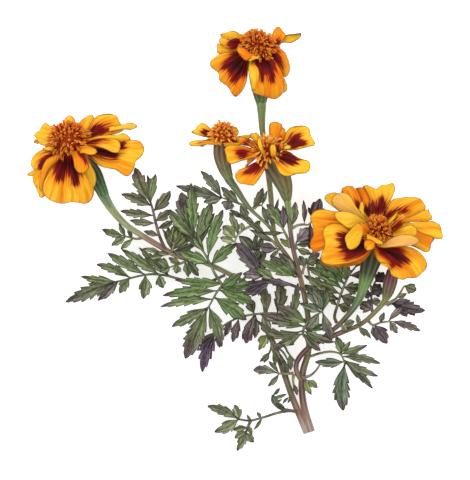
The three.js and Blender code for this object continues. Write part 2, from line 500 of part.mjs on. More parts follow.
// A straight-sided solid from a flat outline.
function prism(outline) {
  const settings = { depth: PRISM_HEIGHT, bevelEnabled: false };
  const geometry = new THREE.ExtrudeGeometry(new THREE.Shape(outline), settings);
  geometry.deleteAttribute("normal");
  geometry.deleteAttribute("uv");
  const { attributes, index } = mergeVertices(geometry, SAME_POINT);
  const vertProperties = attributes.position.array;
  const triVerts = new Uint32Array(index.array);
  return new wasm.Manifold(new wasm.Mesh({ numProp: 3, vertProperties, triVerts, tolerance: FINEST }));
}

// The flat outline of a strip with a given half width at each of its points, with a tip if it has one.
function strip(points, halves, tip) {
  const left = [];
  const right = [];
  points.forEach((p, i) => {
    const [a, b] = [points[Math.max(i - 1, 0)], points[i + 1] ?? tip ?? p];
    const side = new THREE.Vector2(a.y - b.y, b.x - a.x).normalize();
    left.push(p.clone().addScaledVector(side, halves[i]));
    right.unshift(p.clone().addScaledVector(side, -halves[i]));
  });
  return prism(tip ? [...left, tip, ...right] : [...left, ...right]);
}

const flat = ({ x, y }) => new THREE.Vector2(x, y);

// The flat outline of a toothed leaflet.
function leaflet(root, tip, width) {
  const plain = width >= MIDDLE_FROM ? MIDDLE_LEAFLET : NARROW_LEAFLET;
  const outline = width >= BROAD_FROM ? BROAD_LEAFLET : plain;
  return strip(outline.map(([share]) => flat(root).lerp(flat(tip), share)),
    outline.map(([, wide]) => (wide * width) / 2), flat(tip));
}

// A divided leaf: ribs and leaflets as one thin blade, bent to the heights of its ribs and tips.
function leaf(sprays) {
  const pieces = [];
  const heights = [];
  for (const { rib, leaflets } of sprays) {
    const route = rib.map(vector);
    route.unshift(route[0].clone().add(route[0].clone().sub(route[1]).setLength(RIB_SUNK)));
    const halves = route.map((_, i) => (RIB_WIDTH / 2) * (1 - (1 - RIB_TIP) * (i / (route.length - 1))));
    pieces.push(strip(route.map(flat), halves));
    heights.push(...route);
    const curve = new THREE.CatmullRomCurve3(rib.map(vector), false, "centripetal");
    for (const [share, x, y, z, width] of leaflets) {
      const [root, tip] = [curve.getPointAt(share), new THREE.Vector3(x, y, z)];
      pieces.push(leaflet(root, tip, width));
      const middle = root.clone().lerp(tip, 0.5);
      middle.z += LEAFLET_ARCH * root.distanceTo(tip);
      heights.push(middle, tip);
    }
  }
  const { vertProperties, triVerts } = wasm.Manifold.union(pieces).getMesh();
  const upper = [];
  const lower = [];
  for (let i = 0; i < vertProperties.length; i += 3) {
    const [x, y] = vertProperties.slice(i, i + 2);
    let [sum, weights] = [0, 0];
    for (const p of heights) {
      const weight = 1 / (HEIGHT_BLUR + (p.x - x) ** 2 + (p.y - y) ** 2) ** 2;
      sum += weight * p.z;
      weights += weight;
    }
    const z = Math.max(sum / weights, TABLE + LEAF_BLADE / 2);
    upper.push(new THREE.Vector3(x, y, z + LEAF_BLADE / 2));
    lower.push(new THREE.Vector3(x, y, z - LEAF_BLADE / 2));
  }
  const onTop = (v) => vertProperties[3 * v + 2] > PRISM_HEIGHT / 2;
  const skin = [];
  for (let i = 0; i < triVerts.length; i += 3) {
    const corners = [...triVerts.slice(i, i + 3)];
    if (corners.every(onTop)) skin.push(...corners);
  }
  const used = [...new Set(skin)];
  const renamed = new Map(used.map((v, i) => [v, i]));
  return closeSkins(used.map((v) => upper[v]), used.map((v) => lower[v]), skin.map((v) => renamed.get(v)));
}

// A ray petal, bowed between the head and its tip.
function petal(bloom, [x, y, z, width, bow, turned]) {
  const centre = vector(bloom.centre);
  const axis = vector(bloom.facing).normalize();
  const tip = new THREE.Vector3(x, y, z);
  const out = tip.clone().sub(centre);
  const layer = out.dot(axis) > UNDER_RAYS ? 1 : -1;
  const radial = out.addScaledVector(axis, -out.dot(axis)).normalize();
  const round = axis.clone().cross(radial);
  const root = centre.clone().addScaledVector(radial, bloom.disc + RAY_ROOT)
    .addScaledVector(axis, layer * (PLATE - BLADE) / 2);
  const chord = tip.clone().sub(root);
  const rise = chord.clone().cross(round).normalize();
  const middle = root.clone().lerp(tip, 0.5).addScaledVector(rise, 2 * bow);
  const curve = new THREE.QuadraticBezierCurve3(root, middle, tip);
  const broad = width >= BROAD_PETAL_FROM;
  const rows = (broad ? BROAD_PETAL : NARROW_PETAL).map(([share, wide]) => {
    const along = curve.getTangent(share);
    const face = along.clone().cross(round).lerp(UP, turned);
    face.addScaledVector(along, -face.dot(along)).normalize();
    const side = face.clone().cross(along).multiplyScalar((wide * width) / 2);
    const across = (d, back = 0) => curve.getPoint(share - back).addScaledVector(side, d)
      .addScaledVector(face, Math.abs(d) * PETAL_CUP * wide * width);
    const back = share === 1 ? PETAL_CROWN : 0;
    return { face, points: broad ? [across(-1, back), across(0), across(1, back)] : [across(-1), across(1)] };
  });
  if (!broad) rows.push({ face: rows.at(-1).face, points: [tip] });
  return blade(rows);
}

// The plate on the head's axis that the rays grow from.
function plate(bloom) {
  const axis = vector(bloom.facing).normalize();
  const end = (h) => vector(bloom.centre).addScaledVector(axis, h).toArray();
  const radius = bloom.disc + PLATE_RIM;
  return tube([end(-PLATE / 2), end(PLATE / 2)], [radius, radius], CUP_SIDES);
}

// Where a point of the disc lies, from its place about the head's axis and above the seat.
function discPlace(bloom) {
  const axis = vector(bloom.facing).normalize();
  const turn = new THREE.Quaternion().setFromUnitVectors(UP, axis);
  const seat = vector(bloom.centre).addScaledVector(axis, SEAT);
  return (p) => p.clone().applyQuaternion(turn).add(seat);
}

// The disc: a dome with a floret raised from each of its facets, or bare and larger by what is to be spare.
function disc(bloom, spare = 0) {
  const place = discPlace(bloom);
  const feet = [];
  for (let i = 0; i <= DOME_RINGS; i++)
    for (let k = 0; k < (i < DOME_RINGS ? DOME_SIDES : 1); k++) {
      const tilt = (i / DOME_RINGS) * (Math.PI / 2);
      const angle = ((k + i / 2) / DOME_SIDES) * 2 * Math.PI;
      const r = (bloom.disc + spare) * Math.cos(tilt);
      feet.push(new THREE.Vector3(r * Math.cos(angle), r * Math.sin(angle),
        (bloom.dome + spare) * Math.sin(tilt)));
    }
  const crown = feet.length - 1;
  const facets = [];
  for (let k = 0; k < DOME_SIDES; k++) {
    const next = (k + 1) % DOME_SIDES;
    for (let i = 0; i < DOME_RINGS - 1; i++) {
      const [a, b] = [i * DOME_SIDES + k, i * DOME_SIDES + next];
      facets.push([a, b, a + DOME_SIDES], [b, b + DOME_SIDES, a + DOME_SIDES]);
    }
    facets.push([(DOME_RINGS - 1) * DOME_SIDES + k, (DOME_RINGS - 1) * DOME_SIDES + next, crown]);
  }
  const corners = [...feet];
  const triangles = [];
  for (let k = 1; k < DOME_SIDES - 1; k++) triangles.push(0, k + 1, k);
  for (const foot of facets) {
    if (spare) {
      triangles.push(...foot);
      continue;
    }
    const middle = new THREE.Vector3();
    foot.forEach((v) => middle.addScaledVector(feet[v], 1 / 3));
    const out = new THREE.Vector3(FLORET_LEAN * middle.x / bloom.disc, FLORET_LEAN * middle.y / bloom.disc,
      1 - FLORET_LEAN + middle.z / bloom.dome).setLength(bloom.floret);
    const mouth = foot.map((v) => corners.push(middle.clone().lerp(feet[v], FLORET_MOUTH).add(out)) - 1);
    triangles.push(...mouth);
    for (let k = 0; k < 3; k++) {
      const next = (k + 1) % 3;
      triangles.push(foot[k], foot[next], mouth[next], foot[k], mouth[next], mouth[k]);
    }
  }
  return solid(corners.map(place), triangles);
}

// The largest body of a solid, with what a cut has left loose dropped.
const largest = (made) => made.decompose().sort((a, b) => b.volume() - a.volume())[0];

const root = new THREE.Group();
root.position.set(-MIDDLE[0], -MIDDLE[1], TABLE);

function addNode(name, made, look) {
  const { vertProperties, triVerts } = made.getMesh();
  const geometry = new THREE.BufferGeometry();
  geometry.setAttribute("position", new THREE.BufferAttribute(new Float32Array(vertProperties), 3));
  geometry.setIndex(new THREE.BufferAttribute(new Uint32Array(triVerts), 1));
  geometry.computeVertexNormals();
  const mesh = new THREE.Mesh(geometry, new THREE.MeshStandardMaterial({ ...look, metalness: 0 }));
  mesh.name = name;
  root.add(mesh);
  return made;
}

// Stems, and the same stems a gap larger, which is what the leaves are cut back to.
const stemTubes = (spare) => wasm.Manifold.union(Object.values(STEMS).map((points) =>
  tube(points.map((p) => p.slice(0, 3)), points.map((p) => p[3] + spare), STEM_SIDES)));
addNode("stems", stemTubes(0).trimByPlane([0, 0, 1], TABLE), STEM);
const stemRoom = stemTubes(GAP);

for (const [name, sprays] of Object.entries(LEAVES))
  addNode(name, largest(leaf(sprays).subtract(stemRoom)), GREEN);

for (const [name, bloom] of Object.entries(BLOOMS)) {
  const cup = (spare) =>
    tube(bloom.cup, bloom.cupRadii.map((r) => r + spare), CUP_SIDES, CUP_STEPS, CUP_RIBS);
  const rays = wasm.Manifold.union([plate(bloom), ...bloom.petals.map((p) => petal(bloom, p))]);
  addNode("cup_" + name, cup(0), CUP);
  addNode("petals_" + name, largest(rays.subtract(cup(GAP)).subtract(disc(bloom, FLORET_ROOM))), ORANGE);
  addNode("disc_" + name, disc(bloom), DISC);
}

addNode("cup_bud", tube(BUD.cup, BUD.cupRadii, CUP_SIDES, CUP_STEPS, CUP_RIBS), CUP);
addNode("petals_bud", tube(BUD.rays, BUD.rayRadii, CUP_SIDES, CUP_STEPS, CUP_RIBS), ORANGE);

export default root;
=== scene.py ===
import math
import random
from collections import namedtuple

import bpy
import numpy as np
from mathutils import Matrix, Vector


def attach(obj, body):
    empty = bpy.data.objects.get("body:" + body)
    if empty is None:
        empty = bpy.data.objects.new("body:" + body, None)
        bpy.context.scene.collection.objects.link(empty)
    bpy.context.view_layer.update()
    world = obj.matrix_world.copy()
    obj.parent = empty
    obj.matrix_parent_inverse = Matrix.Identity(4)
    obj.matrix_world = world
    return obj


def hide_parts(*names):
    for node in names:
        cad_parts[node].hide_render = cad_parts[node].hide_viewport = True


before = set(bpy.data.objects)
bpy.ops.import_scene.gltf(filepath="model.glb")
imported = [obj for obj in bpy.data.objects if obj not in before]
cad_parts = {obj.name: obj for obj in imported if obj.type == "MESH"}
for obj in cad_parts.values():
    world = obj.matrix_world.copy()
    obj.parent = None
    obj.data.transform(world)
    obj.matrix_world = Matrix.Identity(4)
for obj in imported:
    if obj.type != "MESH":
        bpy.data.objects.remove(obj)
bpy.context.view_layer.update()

# A cut flowering stem of French marigold, lying on a table. Points are in millimetres, with x and y in the
# picture plane and z up from the table.
MM = 0.001
SHIFT = np.array([0.7, -0.325, 0.0])  # from the points' origin to the model's
UP = np.array([0.0, 0.0, 1.0])
FLAT = np.array([1, 1, 0])  # leaves out a direction's height
TABLE_GAP = 0.02  # least height of any point above the table
PETAL_THICKNESS = 0.25
LEAF_THICKNESS = 0.35
LEAST_THICKNESS = 0.8  # share of its thickness that a sheet keeps where it lies on the table
RIDGE_TWIST = 0.02  # how far the phase of a tube's ridges moves on with each millimetre
GAMMA = 2.2


# Curves and grids

def unit(v):
    v = np.asarray(v, float)
    return v / max(np.linalg.norm(v), 1e-9)


def smooth(points, per_span=12, closed=False):
    """A smooth curve through points."""
    p = np.asarray(points, float)
    ends = (p[-1:], p[:2]) if closed else (2 * p[:1] - p[1:2], 2 * p[-1:] - p[-2:-1])
    p = np.vstack([ends[0], p, ends[1]])
    parts = []
    for i in range(1, len(p) - 2):
        p0, p1, p2, p3 = p[i - 1:i + 3]
        t0 = 0.0
        t1 = t0 + max(np.linalg.norm(p1 - p0), 1e-6) ** 0.5
        t2 = t1 + max(np.linalg.norm(p2 - p1), 1e-6) ** 0.5
        t3 = t2 + max(np.linalg.norm(p3 - p2), 1e-6) ** 0.5
        t = np.linspace(t1, t2, per_span, endpoint=False)[:, None]
        a1 = ((t1 - t) * p0 + (t - t0) * p1) / (t1 - t0)
        a2 = ((t2 - t) * p1 + (t - t1) * p2) / (t2 - t1)
        a3 = ((t3 - t) * p2 + (t - t2) * p3) / (t3 - t2)
        b1 = ((t2 - t) * a1 + (t - t0) * a2) / (t2 - t0)
        b2 = ((t3 - t) * a2 + (t - t1) * a3) / (t3 - t1)
        parts.append(((t2 - t) * b1 + (t - t1) * b2) / (t2 - t1))
    parts.append(p[-2:-1])
    return np.vstack(parts)


def lengths(path):
    """How far along a path each of its points lies."""
    return np.concatenate([[0], np.cumsum(np.linalg.norm(np.diff(path, axis=0), axis=1))])


def resample(path, count):
    """The same path in count points, evenly spaced."""
    run = lengths(path)
    wanted = np.linspace(0, run[-1], count)
    return np.stack([np.interp(wanted, run, path[:, k]) for k in range(path.shape[1])], axis=1)


def nearest(points, path):
    """Distance in the picture plane from each point to a path."""
    flat = points.reshape(-1, points.shape[-1])[:, :2]
    gap = np.full(len(flat), 1e9)
    for q in path:
        gap = np.minimum(gap, np.hypot(flat[:, 0] - q[0], flat[:, 1] - q[1]))
    return gap.reshape(points.shape[:-1])


def inside(points, ring):
    """Whether each point lies inside a closed ring, in the picture plane."""
    x, y = points[..., 0], points[..., 1]
    result = np.zeros(x.shape, bool)
    for (ax, ay), (bx, by) in zip(ring, np.roll(ring, -1, axis=0)):
        if ay == by:
            continue
        crosses = (ay > y) != (by > y)
        result ^= crosses & (x < ax + (y - ay) * (bx - ax) / (by - ay))
    return result


def surface(outline, first, second, rows, columns):
    """A grid over an outline whose end lies between two of its points, given by their numbers."""
    left = resample(outline[:first + 1], rows)
    right = resample(outline[second:][::-1], rows)
    base = np.linspace(left[0], right[0], columns)
    end = resample(outline[first:second + 1], columns)
    u = np.linspace(0, 1, columns)[None, :, None]
    v = np.linspace(0, 1, rows)[:, None, None]
    across = (1 - u) * left[:, None] + u * right[:, None]
    along = (1 - v) * base[None] + v * end[None]
    both = (1 - v) * ((1 - u) * left[0] + u * right[0]) + v * ((1 - u) * left[-1] + u * right[-1])
    return across + along - both


def circle(count):
    """Angles evenly spaced round a full turn."""
    return np.arange(count) / count * 2 * math.pi


def tube_rings(route, radii, sides, step, ridges, depth):
    """Rings along a smooth route, with lengthwise ridges. Also gives the rings' grain, how near each point
    is to the top of a ridge, and how far along the route each ring lies."""
    path = smooth(np.column_stack([route, radii]))
    count = max(int(lengths(path[:, :3])[-1] / step), 3)
    path = resample(path, count)
    along = np.gradient(path[:, :3], axis=0)
    run = lengths(path[:, :3])
    rings = np.zeros((count, sides, 3))
    flow = np.zeros((count, sides, 3))
    crest = np.zeros((count, sides))
    turn = circle(sides)
    for i in range(count):
        forward = unit(along[i])
        across = unit(UP - forward * forward[2])
        side = np.cross(forward, across)
        wave = np.cos(ridges * turn + run[i] * RIDGE_TWIST)
        size = path[i, 3] * (1 + depth * (wave - 1))
        spokes = np.cos(turn)[:, None] * across + np.sin(turn)[:, None] * side
        rings[i] = path[i, :3] + size[:, None] * spokes
        flow[i, :, 0] = np.abs(turn - math.pi) * path[i, 3]
        flow[i, :, 1] = run[i]
        crest[i] = np.clip(wave, 0, 1)
    rings[..., 2] = np.maximum(rings[..., 2], TABLE_GAP)
    return rings, flow, crest, run


# Each point of a mesh carries its place in the grain, its distance from the edge, how deep it lies in a
# petal's blotch or how far from a leaf's vein, its shade, which on a leaflet is painted light and shade,
# and its colour.
VALUES = (
    ("flow", "FLOAT_VECTOR", "vector", slice(0, 3)),
    ("rim", "FLOAT", "value", 3),
    ("mark", "FLOAT", "value", 4),
    ("tone", "FLOAT", "value", 5),
    ("tint", "FLOAT_VECTOR", "vector", slice(6, 9)),
)
FAR_AWAY = 9  # distance given where no edge or vein is near
OUTSIDE_BLOTCH = -9
BLACK = (0, 0, 0)


def gather(rows, columns, flow, rim, mark, tone, tint):
    """The values of every point of a grid, side by side."""
    parts = [np.broadcast_to(flow, (rows, columns, 3))]
    for value in (rim, mark, tone):
        parts.append(np.broadcast_to(value, (rows, columns))[..., None])
    parts.append(np.broadcast_to(tint, (rows, columns, 3)))
    return np.concatenate(parts, axis=-1, dtype=float)


class Piece:
    """One object that stands for one node, gathered from closed sheets and tubes."""

    def __init__(self, node):
        self.node = node
        self.points = []
        self.faces = []
        self.values = []
        self.count = 0

    def add(self, points, faces, values):
        self.points.append(points)
        self.values.append(values)
        self.faces += [tuple(self.count + i for i in face) for face in faces]
        self.count += len(points)

    def sheet(self, grid, thickness, flow, rim, mark, tone, tint=BLACK):
        """A thin closed sheet over a grid of points, rows running outwards."""
        rows, columns = grid.shape[:2]
        values = gather(rows, columns, flow, rim, mark, tone, tint)
        normal = np.cross(np.gradient(grid, axis=1), np.gradient(grid, axis=0))
        size = np.linalg.norm(normal, axis=2, keepdims=True)
        normal = np.where(size > 1e-6, normal / np.maximum(size, 1e-9), UP)
        if normal[..., 2].mean() < 0:
            grid, values, normal = grid[:, ::-1], values[:, ::-1], -normal[:, ::-1]
        top = grid + normal * thickness / 2
        low = grid - normal * thickness / 2
        low[..., 2] = np.maximum(low[..., 2], TABLE_GAP)
        top[..., 2] = np.maximum(top[..., 2], TABLE_GAP + thickness * LEAST_THICKNESS)
        n = rows * columns
        at = np.arange(n).reshape(rows, columns)
        faces = []
        for i in range(rows - 1):
            for j in range(columns - 1):
                a, b, c, d = at[i, j], at[i, j + 1], at[i + 1, j + 1], at[i + 1, j]
                faces.append((a, b, c, d))
                faces.append((n + d, n + c, n + b, n + a))
        border = [*at[0, :-1], *at[:-1, -1], *at[-1, :0:-1], *at[:0:-1, 0]]
        for a, b in zip(border, border[1:] + border[:1]):
            faces.append((b, a, n + a, n + b))
        points = np.concatenate([top.reshape(n, 3), low.reshape(n, 3)])
        self.add(points, faces, np.concatenate([values.reshape(n, -1)] * 2))

    def tube(self, rings, flow=0, tone=0, tint=BLACK, rim=FAR_AWAY, mark=OUTSIDE_BLOTCH):
        """A closed tube through rings of points."""
        steps, sides = rings.shape[:2]
        n = steps * sides
        values = gather(steps, sides, flow, rim, mark, tone, tint)
        faces = []
        for i in range(steps - 1):
            for k in range(sides):
                a, b = i * sides + k, i * sides + (k + 1) % sides
                faces.append((a, b, b + sides, a + sides))
        faces.append(tuple(range(sides))[::-1])
        faces.append(tuple(range(n - sides, n)))
        self.add(rings.reshape(n, 3), faces, values.reshape(n, -1))

    def build(self, look):
        mesh = bpy.data.meshes.new("fine_" + self.node)
        points = (np.concatenate(self.points) + SHIFT) * MM
        mesh.from_pydata(points.tolist(), [], self.faces)
        values = np.concatenate(self.values)
        for name, kind, channel, part in VALUES:
            layer = mesh.attributes.new(name, kind, "POINT")
            layer.data.foreach_set(channel, values[:, part].astype(np.float32).ravel())
        mesh.polygons.foreach_set("use_smooth", [True] * len(mesh.polygons))
        mesh.materials.append(look)
        mesh.update()
        piece = bpy.data.objects.new("fine_" + self.node, mesh)
        bpy.context.scene.collection.objects.link(piece)
        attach(piece, "root")
        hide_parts(self.node)


# Materials

def colour(red, green, blue):
    """A colour given in 0 to 255, as the renderer's linear values."""
    return tuple((c / 255) ** GAMMA for c in (red, green, blue))


GLOSS = 0.12
NOISE_LOW, NOISE_HIGH = 0.3, 0.7  # range that most of a noise lies in


class Look:
    """A procedural material put together from nodes."""

    def __init__(self, name, roughness, bump):
        self.material = bpy.data.materials.new(name)
        self.material.use_nodes = True
        self.tree = self.material.node_tree
        self.shader = self.tree.nodes["Principled BSDF"]
        self.shader.inputs["Roughness"].default_value = roughness
        self.shader.inputs["Specular IOR Level"].default_value = GLOSS
        self.bump_strength = bump

    def node(self, kind, **inputs):
        made = self.tree.nodes.new(kind)
        for key, value in inputs.items():
            self.put(made.inputs[key], value)
        return made

    def put(self, socket, value):
        """Links a node's output to a socket, or sets the socket to a number or a colour."""
        if isinstance(value, bpy.types.NodeSocket):
            self.tree.links.new(value, socket)
        elif isinstance(value, tuple) and len(value) == 3 and socket.type == "RGBA":
            socket.default_value = (*value, 1)
        else:
            socket.default_value = value

    def value(self, name, vector=False):
        """One of the values that the mesh's points carry."""
        made = self.tree.nodes.new("ShaderNodeAttribute")
        made.attribute_name = name
        return made.outputs["Vector" if vector else "Fac"]

    def math(self, operation, a, b):
        made = self.tree.nodes.new("ShaderNodeMath")
        made.operation = operation
        self.put(made.inputs[0], a)
        self.put(made.inputs[1], b)
        return made.outputs[0]

    def noise(self, vector, scale, detail=2.0):
        made = self.node("ShaderNodeTexNoise", Vector=vector, Scale=scale, Detail=detail)
        return made.outputs["Fac"]

    def grain(self, flow, across, along, detail=2.0):
        """A noise drawn out along the grain, with its spots per millimetre across and along it."""
        made = self.tree.nodes.new("ShaderNodeVectorMath")
        made.operation = "MULTIPLY"
        self.put(made.inputs[0], flow)
        made.inputs[1].default_value = (across, along, 1.0)
        return self.noise(made.outputs[0], 1.0, detail)

    def ramp(self, value, low, high, start=0.0, end=1.0):
        """Goes from start, where the value is low or less, to end, where it is high or more."""
        made = self.node("ShaderNodeMapRange", Value=value)
        made.inputs["From Min"].default_value = low
        made.inputs["From Max"].default_value = high
        made.inputs["To Min"].default_value = start
        made.inputs["To Max"].default_value = end
        return made.outputs["Result"]

    def varied(self, value, noise, start, end):
        """The value with a noise added, which goes from start to end."""
        return self.math("ADD", value, self.ramp(noise, NOISE_LOW, NOISE_HIGH, start, end))

    def mix(self, factor, a, b, blend="MIX"):
        made = self.tree.nodes.new("ShaderNodeMix")
        made.data_type = "RGBA"
        made.blend_type = blend
        self.put(made.inputs[0], factor)
        self.put(made.inputs[6], a)
        self.put(made.inputs[7], b)
        return made.outputs[2]

    def cover(self, base, tint, value, low, high, start=0.0, end=1.0):
        """The base colour with a tint over it, whose share goes from start to end as the value rises."""
        return self.mix(self.ramp(value, low, high, start, end), base, tint)

    def finish(self, base, height, depth):
        self.put(self.shader.inputs["Base Color"], base)
        bump = self.node("ShaderNodeBump", Height=height)
        bump.inputs["Strength"].default_value = self.bump_strength
        bump.inputs["Distance"].default_value = depth
        self.put(self.shader.inputs["Normal"], bump.outputs["Normal"])
        return self.material


RAY_SHADOW = colour(186, 84, 12)
DEEP_ORANGE = colour(226, 116, 14)
ORANGE = colour(234, 148, 26)
YELLOW = colour(242, 190, 50)
FADED = colour(224, 166, 88)
RAY_LINE = colour(186, 98, 22)
BLOTCH_EDGE = colour(200, 70, 14)
BLOTCH = colour(122, 20, 16)
BLOTCH_DEPTH = colour(56, 6, 12)
RAY_RIM = colour(104, 76, 24)


def petal_look():
    look = Look("petal", 0.6, 0.5)
    flow = look.value("flow", True)
    rim = look.value("rim")
    mark = look.value("mark")
    tone = look.value("tone")
    band = look.grain(flow, 0.42, 0.05)
    streak = look.grain(flow, 1.3, 0.10, 3.0)
    line = look.grain(flow, 4.2, 0.16)
    shade = look.varied(tone, band, -0.35, 0.6)
    shade = look.varied(shade, streak, -0.3, 0.3)
    base = look.cover(RAY_SHADOW, DEEP_ORANGE, shade, -1.0, -0.2)
    base = look.cover(base, ORANGE, shade, -0.2, 0.4)
    base = look.cover(base, YELLOW, shade, 0.3, 1.0)
    base = look.cover(base, FADED, shade, 1.3, 2.1)
    base = look.cover(base, RAY_LINE, line, 0.54, 0.66, 0.0, 0.4)
    edge = look.varied(mark, line, -0.4, 1.4)
    edge = look.varied(edge, streak, -1.1, 1.1)
    base = look.cover(base, BLOTCH_EDGE, edge, -1.7, 0.2, 0.0, 0.65)
    base = look.cover(base, BLOTCH, edge, -0.2, 0.5)
    deep = look.varied(edge, band, -1.3, 1.3)
    base = look.cover(base, BLOTCH_DEPTH, deep, 0.8, 3.4)
    base = look.cover(base, RAY_RIM, rim, 0.1, 0.42, 0.85, 0.0)
    height = look.math("ADD", streak, look.math("MULTIPLY", line, 0.7))
    return look.finish(base, height, 0.0006)


def floret_look():
    look = Look("floret", 0.65, 0.3)
    tone = look.value("tone")
    flow = look.value("flow", True)
    grain = look.noise(flow, 1.6)
    shade = look.varied(tone, grain, -0.12, 0.12)
    base = look.cover(colour(84, 26, 10), colour(170, 62, 22), shade, -0.1, 0.25)
    base = look.cover(base, colour(216, 112, 34), shade, 0.25, 0.6)
    base = look.cover(base, colour(242, 178, 74), shade, 0.7, 1.2)
    return look.finish(base, grain, 0.0003)


def leaf_look():
    look = Look("leaf", 0.7, 0.6)
    flow = look.value("flow", True)
    tint = look.value("tint", True)
    rim = look.value("rim")
    vein = look.value("mark")
    tone = look.value("tone")
    cloud = look.noise(flow, 0.4)
    line = look.grain(flow, 2.3, 0.14, 3.0)
    fine = look.grain(flow, 5.5, 0.3)
    dark = look.mix(1.0, tint, (0.26, 0.26, 0.29), "MULTIPLY")
    bright = look.mix(1.0, tint, (1.75, 1.8, 1.6), "MULTIPLY")
    light = look.mix(0.34, bright, colour(188, 192, 170))
    base = look.cover(light, tint, line, 0.36, 0.56)
    # Painted shade: the shaded half of each leaflet is darkened by its tone.
    base = look.cover(base, look.mix(0.5, tint, dark), tone, 0.0, 0.6, 0.55, 0.0)
    base = look.cover(base, dark, cloud, 0.52, 0.68, 0.0, 0.25)
    base = look.cover(base, dark, line, 0.52, 0.64, 0.0, 0.75)
    base = look.cover(base, dark, fine, 0.52, 0.66, 0.0, 0.5)
    base = look.cover(base, dark, vein, 0.12, 0.3, 0.65, 0.0)
    base = look.cover(base, dark, rim, 0.1, 0.4, 0.9, 0.0)
    return look.finish(base, look.math("ADD", line, look.ramp(vein, 0.1, 0.5)), 0.0004)


def stem_look(name):
    look = Look(name, 0.55, 0.4)
    flow = look.value("flow", True)
    tint = look.value("tint", True)
    tone = look.value("tone")
    grain = look.grain(flow, 1.6, 0.16, 3.0)
    spot = look.noise(flow, 2.4)
    dark = look.mix(1.0, tint, (0.36, 0.32, 0.34), "MULTIPLY")
    light = look.mix(0.4, tint, colour(190, 205, 160))
    base = look.cover(tint, dark, grain, 0.42, 0.66, 0.0, 0.75)
    base = look.cover(base, dark, spot, 0.55, 0.7, 0.0, 0.3)
    base = look.mix(look.math("MULTIPLY", tone, 0.8), base, light)
    return look.finish(base, look.math("ADD", grain, tone), 0.0004)


PETAL = petal_look()
FLORET = floret_look()
LEAF = leaf_look()
STEM = stem_look("stem")
CUP = stem_look("cup")

# Stems: points as x, y, z and radius, then the colours, evenly spaced from the first point to the last.
PURPLE_BROWN = colour(118, 90, 86)
OLIVE = colour(124, 124, 80)
PALE_GREEN = colour(120, 152, 96)
PALE_YELLOW = colour(150, 156, 114)
PALE_OLIVE = colour(146, 146, 106)
LIGHT_GREEN = colour(128, 158, 88)
SEA_GREEN = colour(92, 128, 88)
MAROON = colour(98, 56, 64)
MAROON_BROWN = colour(112, 82, 80)
RUSSET = colour(132, 104, 84)
CUT_END = colour(172, 148, 142)
GREY_GREEN = colour(106, 116, 84)
BROWN = colour(122, 106, 80)
ROSE = colour(142, 108, 98)
MIXED = colour(96, 104, 84)
MAIN_STEM = (
    [[34.8, -86.5, 2.0, 2.0], [32, -77, 3.2, 1.75], [30.6, -67, 5, 1.6], [31.2, -59, 7, 1.6],
     [33.4, -51, 9, 1.5], [34, -41, 11.5, 1.35], [32.5, -29, 14, 1.3], [29.8, -16.5, 16.5, 1.2],
     [26.7, -4, 18.5, 1.15], [24.9, 8, 20, 1.15], [24.2, 16.4, 20.8, 1.6], [23.7, 19.4, 21, 2.1]],
    [CUT_END, ROSE, MAROON_BROWN, PURPLE_BROWN, OLIVE, OLIVE, BROWN, BROWN, RUSSET, PURPLE_BROWN,
     PURPLE_BROWN, GREY_GREEN, LIGHT_GREEN])
STEM_OF_LEFT_BLOOM = (
    [[33, -87, 1.9, 1.9], [29.6, -79, 3, 1.7], [26, -70, 4.5, 1.5], [22.6, -60, 6, 1.45],
     [18.2, -47.4, 7.5, 1.25], [14.6, -39, 8.4, 1.1], [14.2, -32, 9, 1.05], [12.6, -24.4, 9.5, 1.05],
     [4.6, -19, 10, 1.1], [-5, -13.8, 10.5, 1.2], [-15, -9.5, 11, 1.2], [-25, -7.3, 11.5, 1.25],
     [-33, -3, 12.5, 1.35], [-41, 1.8, 13.5, 1.4], [-48, 6.4, 14.4, 1.5], [-52.2, 10.4, 14.9, 1.7],
     [-55.6, 14.8, 15.2, 2], [-58, 18.8, 15.4, 2.4], [-58.8, 20.2, 15.35, 2.5]],
    [CUT_END, ROSE, BROWN, PURPLE_BROWN, ROSE, BROWN, OLIVE, PURPLE_BROWN, PALE_OLIVE, PALE_OLIVE, ROSE,
     ROSE, ROSE, PALE_YELLOW, PALE_YELLOW, SEA_GREEN])
STALK_OF_SMALL_BLOOM = (
    [[29.8, -16.5, 16.5, 1.2], [24.8, -8.5, 18, 1.1], [19.8, -1.5, 19.5, 1], [16.7, 4.9, 20.5, 0.85],
     [11.8, 9.8, 21.3, 0.8], [7.8, 13.5, 22, 0.9], [4.4, 17.7, 22.6, 1.25], [1, 22.8, 23.3, 1.65],
     [-2, 27, 24, 2.05], [-2.8, 28.6, 24.2, 2.2]],
    [PURPLE_BROWN, PURPLE_BROWN, OLIVE, GREY_GREEN, GREY_GREEN, GREY_GREEN])
STALK_OF_TOP_BLOOM = (
    [[18.4, 1.2, 20, 1.0], [17.5, 8, 17, 1.1], [17, 14, 13.5, 1.2], [16.2, 24, 10, 1.3],
     [14.2, 38, 9, 1.35], [12.8, 50, 11, 1.45], [12.5, 57, 12.8, 1.9], [12.4, 61, 13.4, 2.3],
     [12.2, 62.6, 13.4, 2.45]],
    [OLIVE, PALE_OLIVE, PALE_OLIVE, OLIVE, PALE_GREEN])
BRANCH_OF_BUD = (
    [[30.7, -64, 5.8, 1.1], [28.3, -59.5, 8, 1.25], [28.2, -55.5, 10.5, 1.3], [31, -51, 13, 1.3],
     [36, -46.8, 13.5, 1.3], [43, -43.8, 13.3, 1.3], [50, -41, 13, 1.2], [57, -38, 13, 1.1],
     [62, -34, 13, 1.1], [66.3, -29.5, 13.3, 1.2], [67.9, -27.4, 13.5, 1.45], [68.4, -26.2, 13.5, 1.7]],
    [BROWN, ROSE, MAROON, MAROON, PURPLE_BROWN, PURPLE_BROWN, PURPLE_BROWN, BROWN, BROWN, OLIVE, OLIVE])
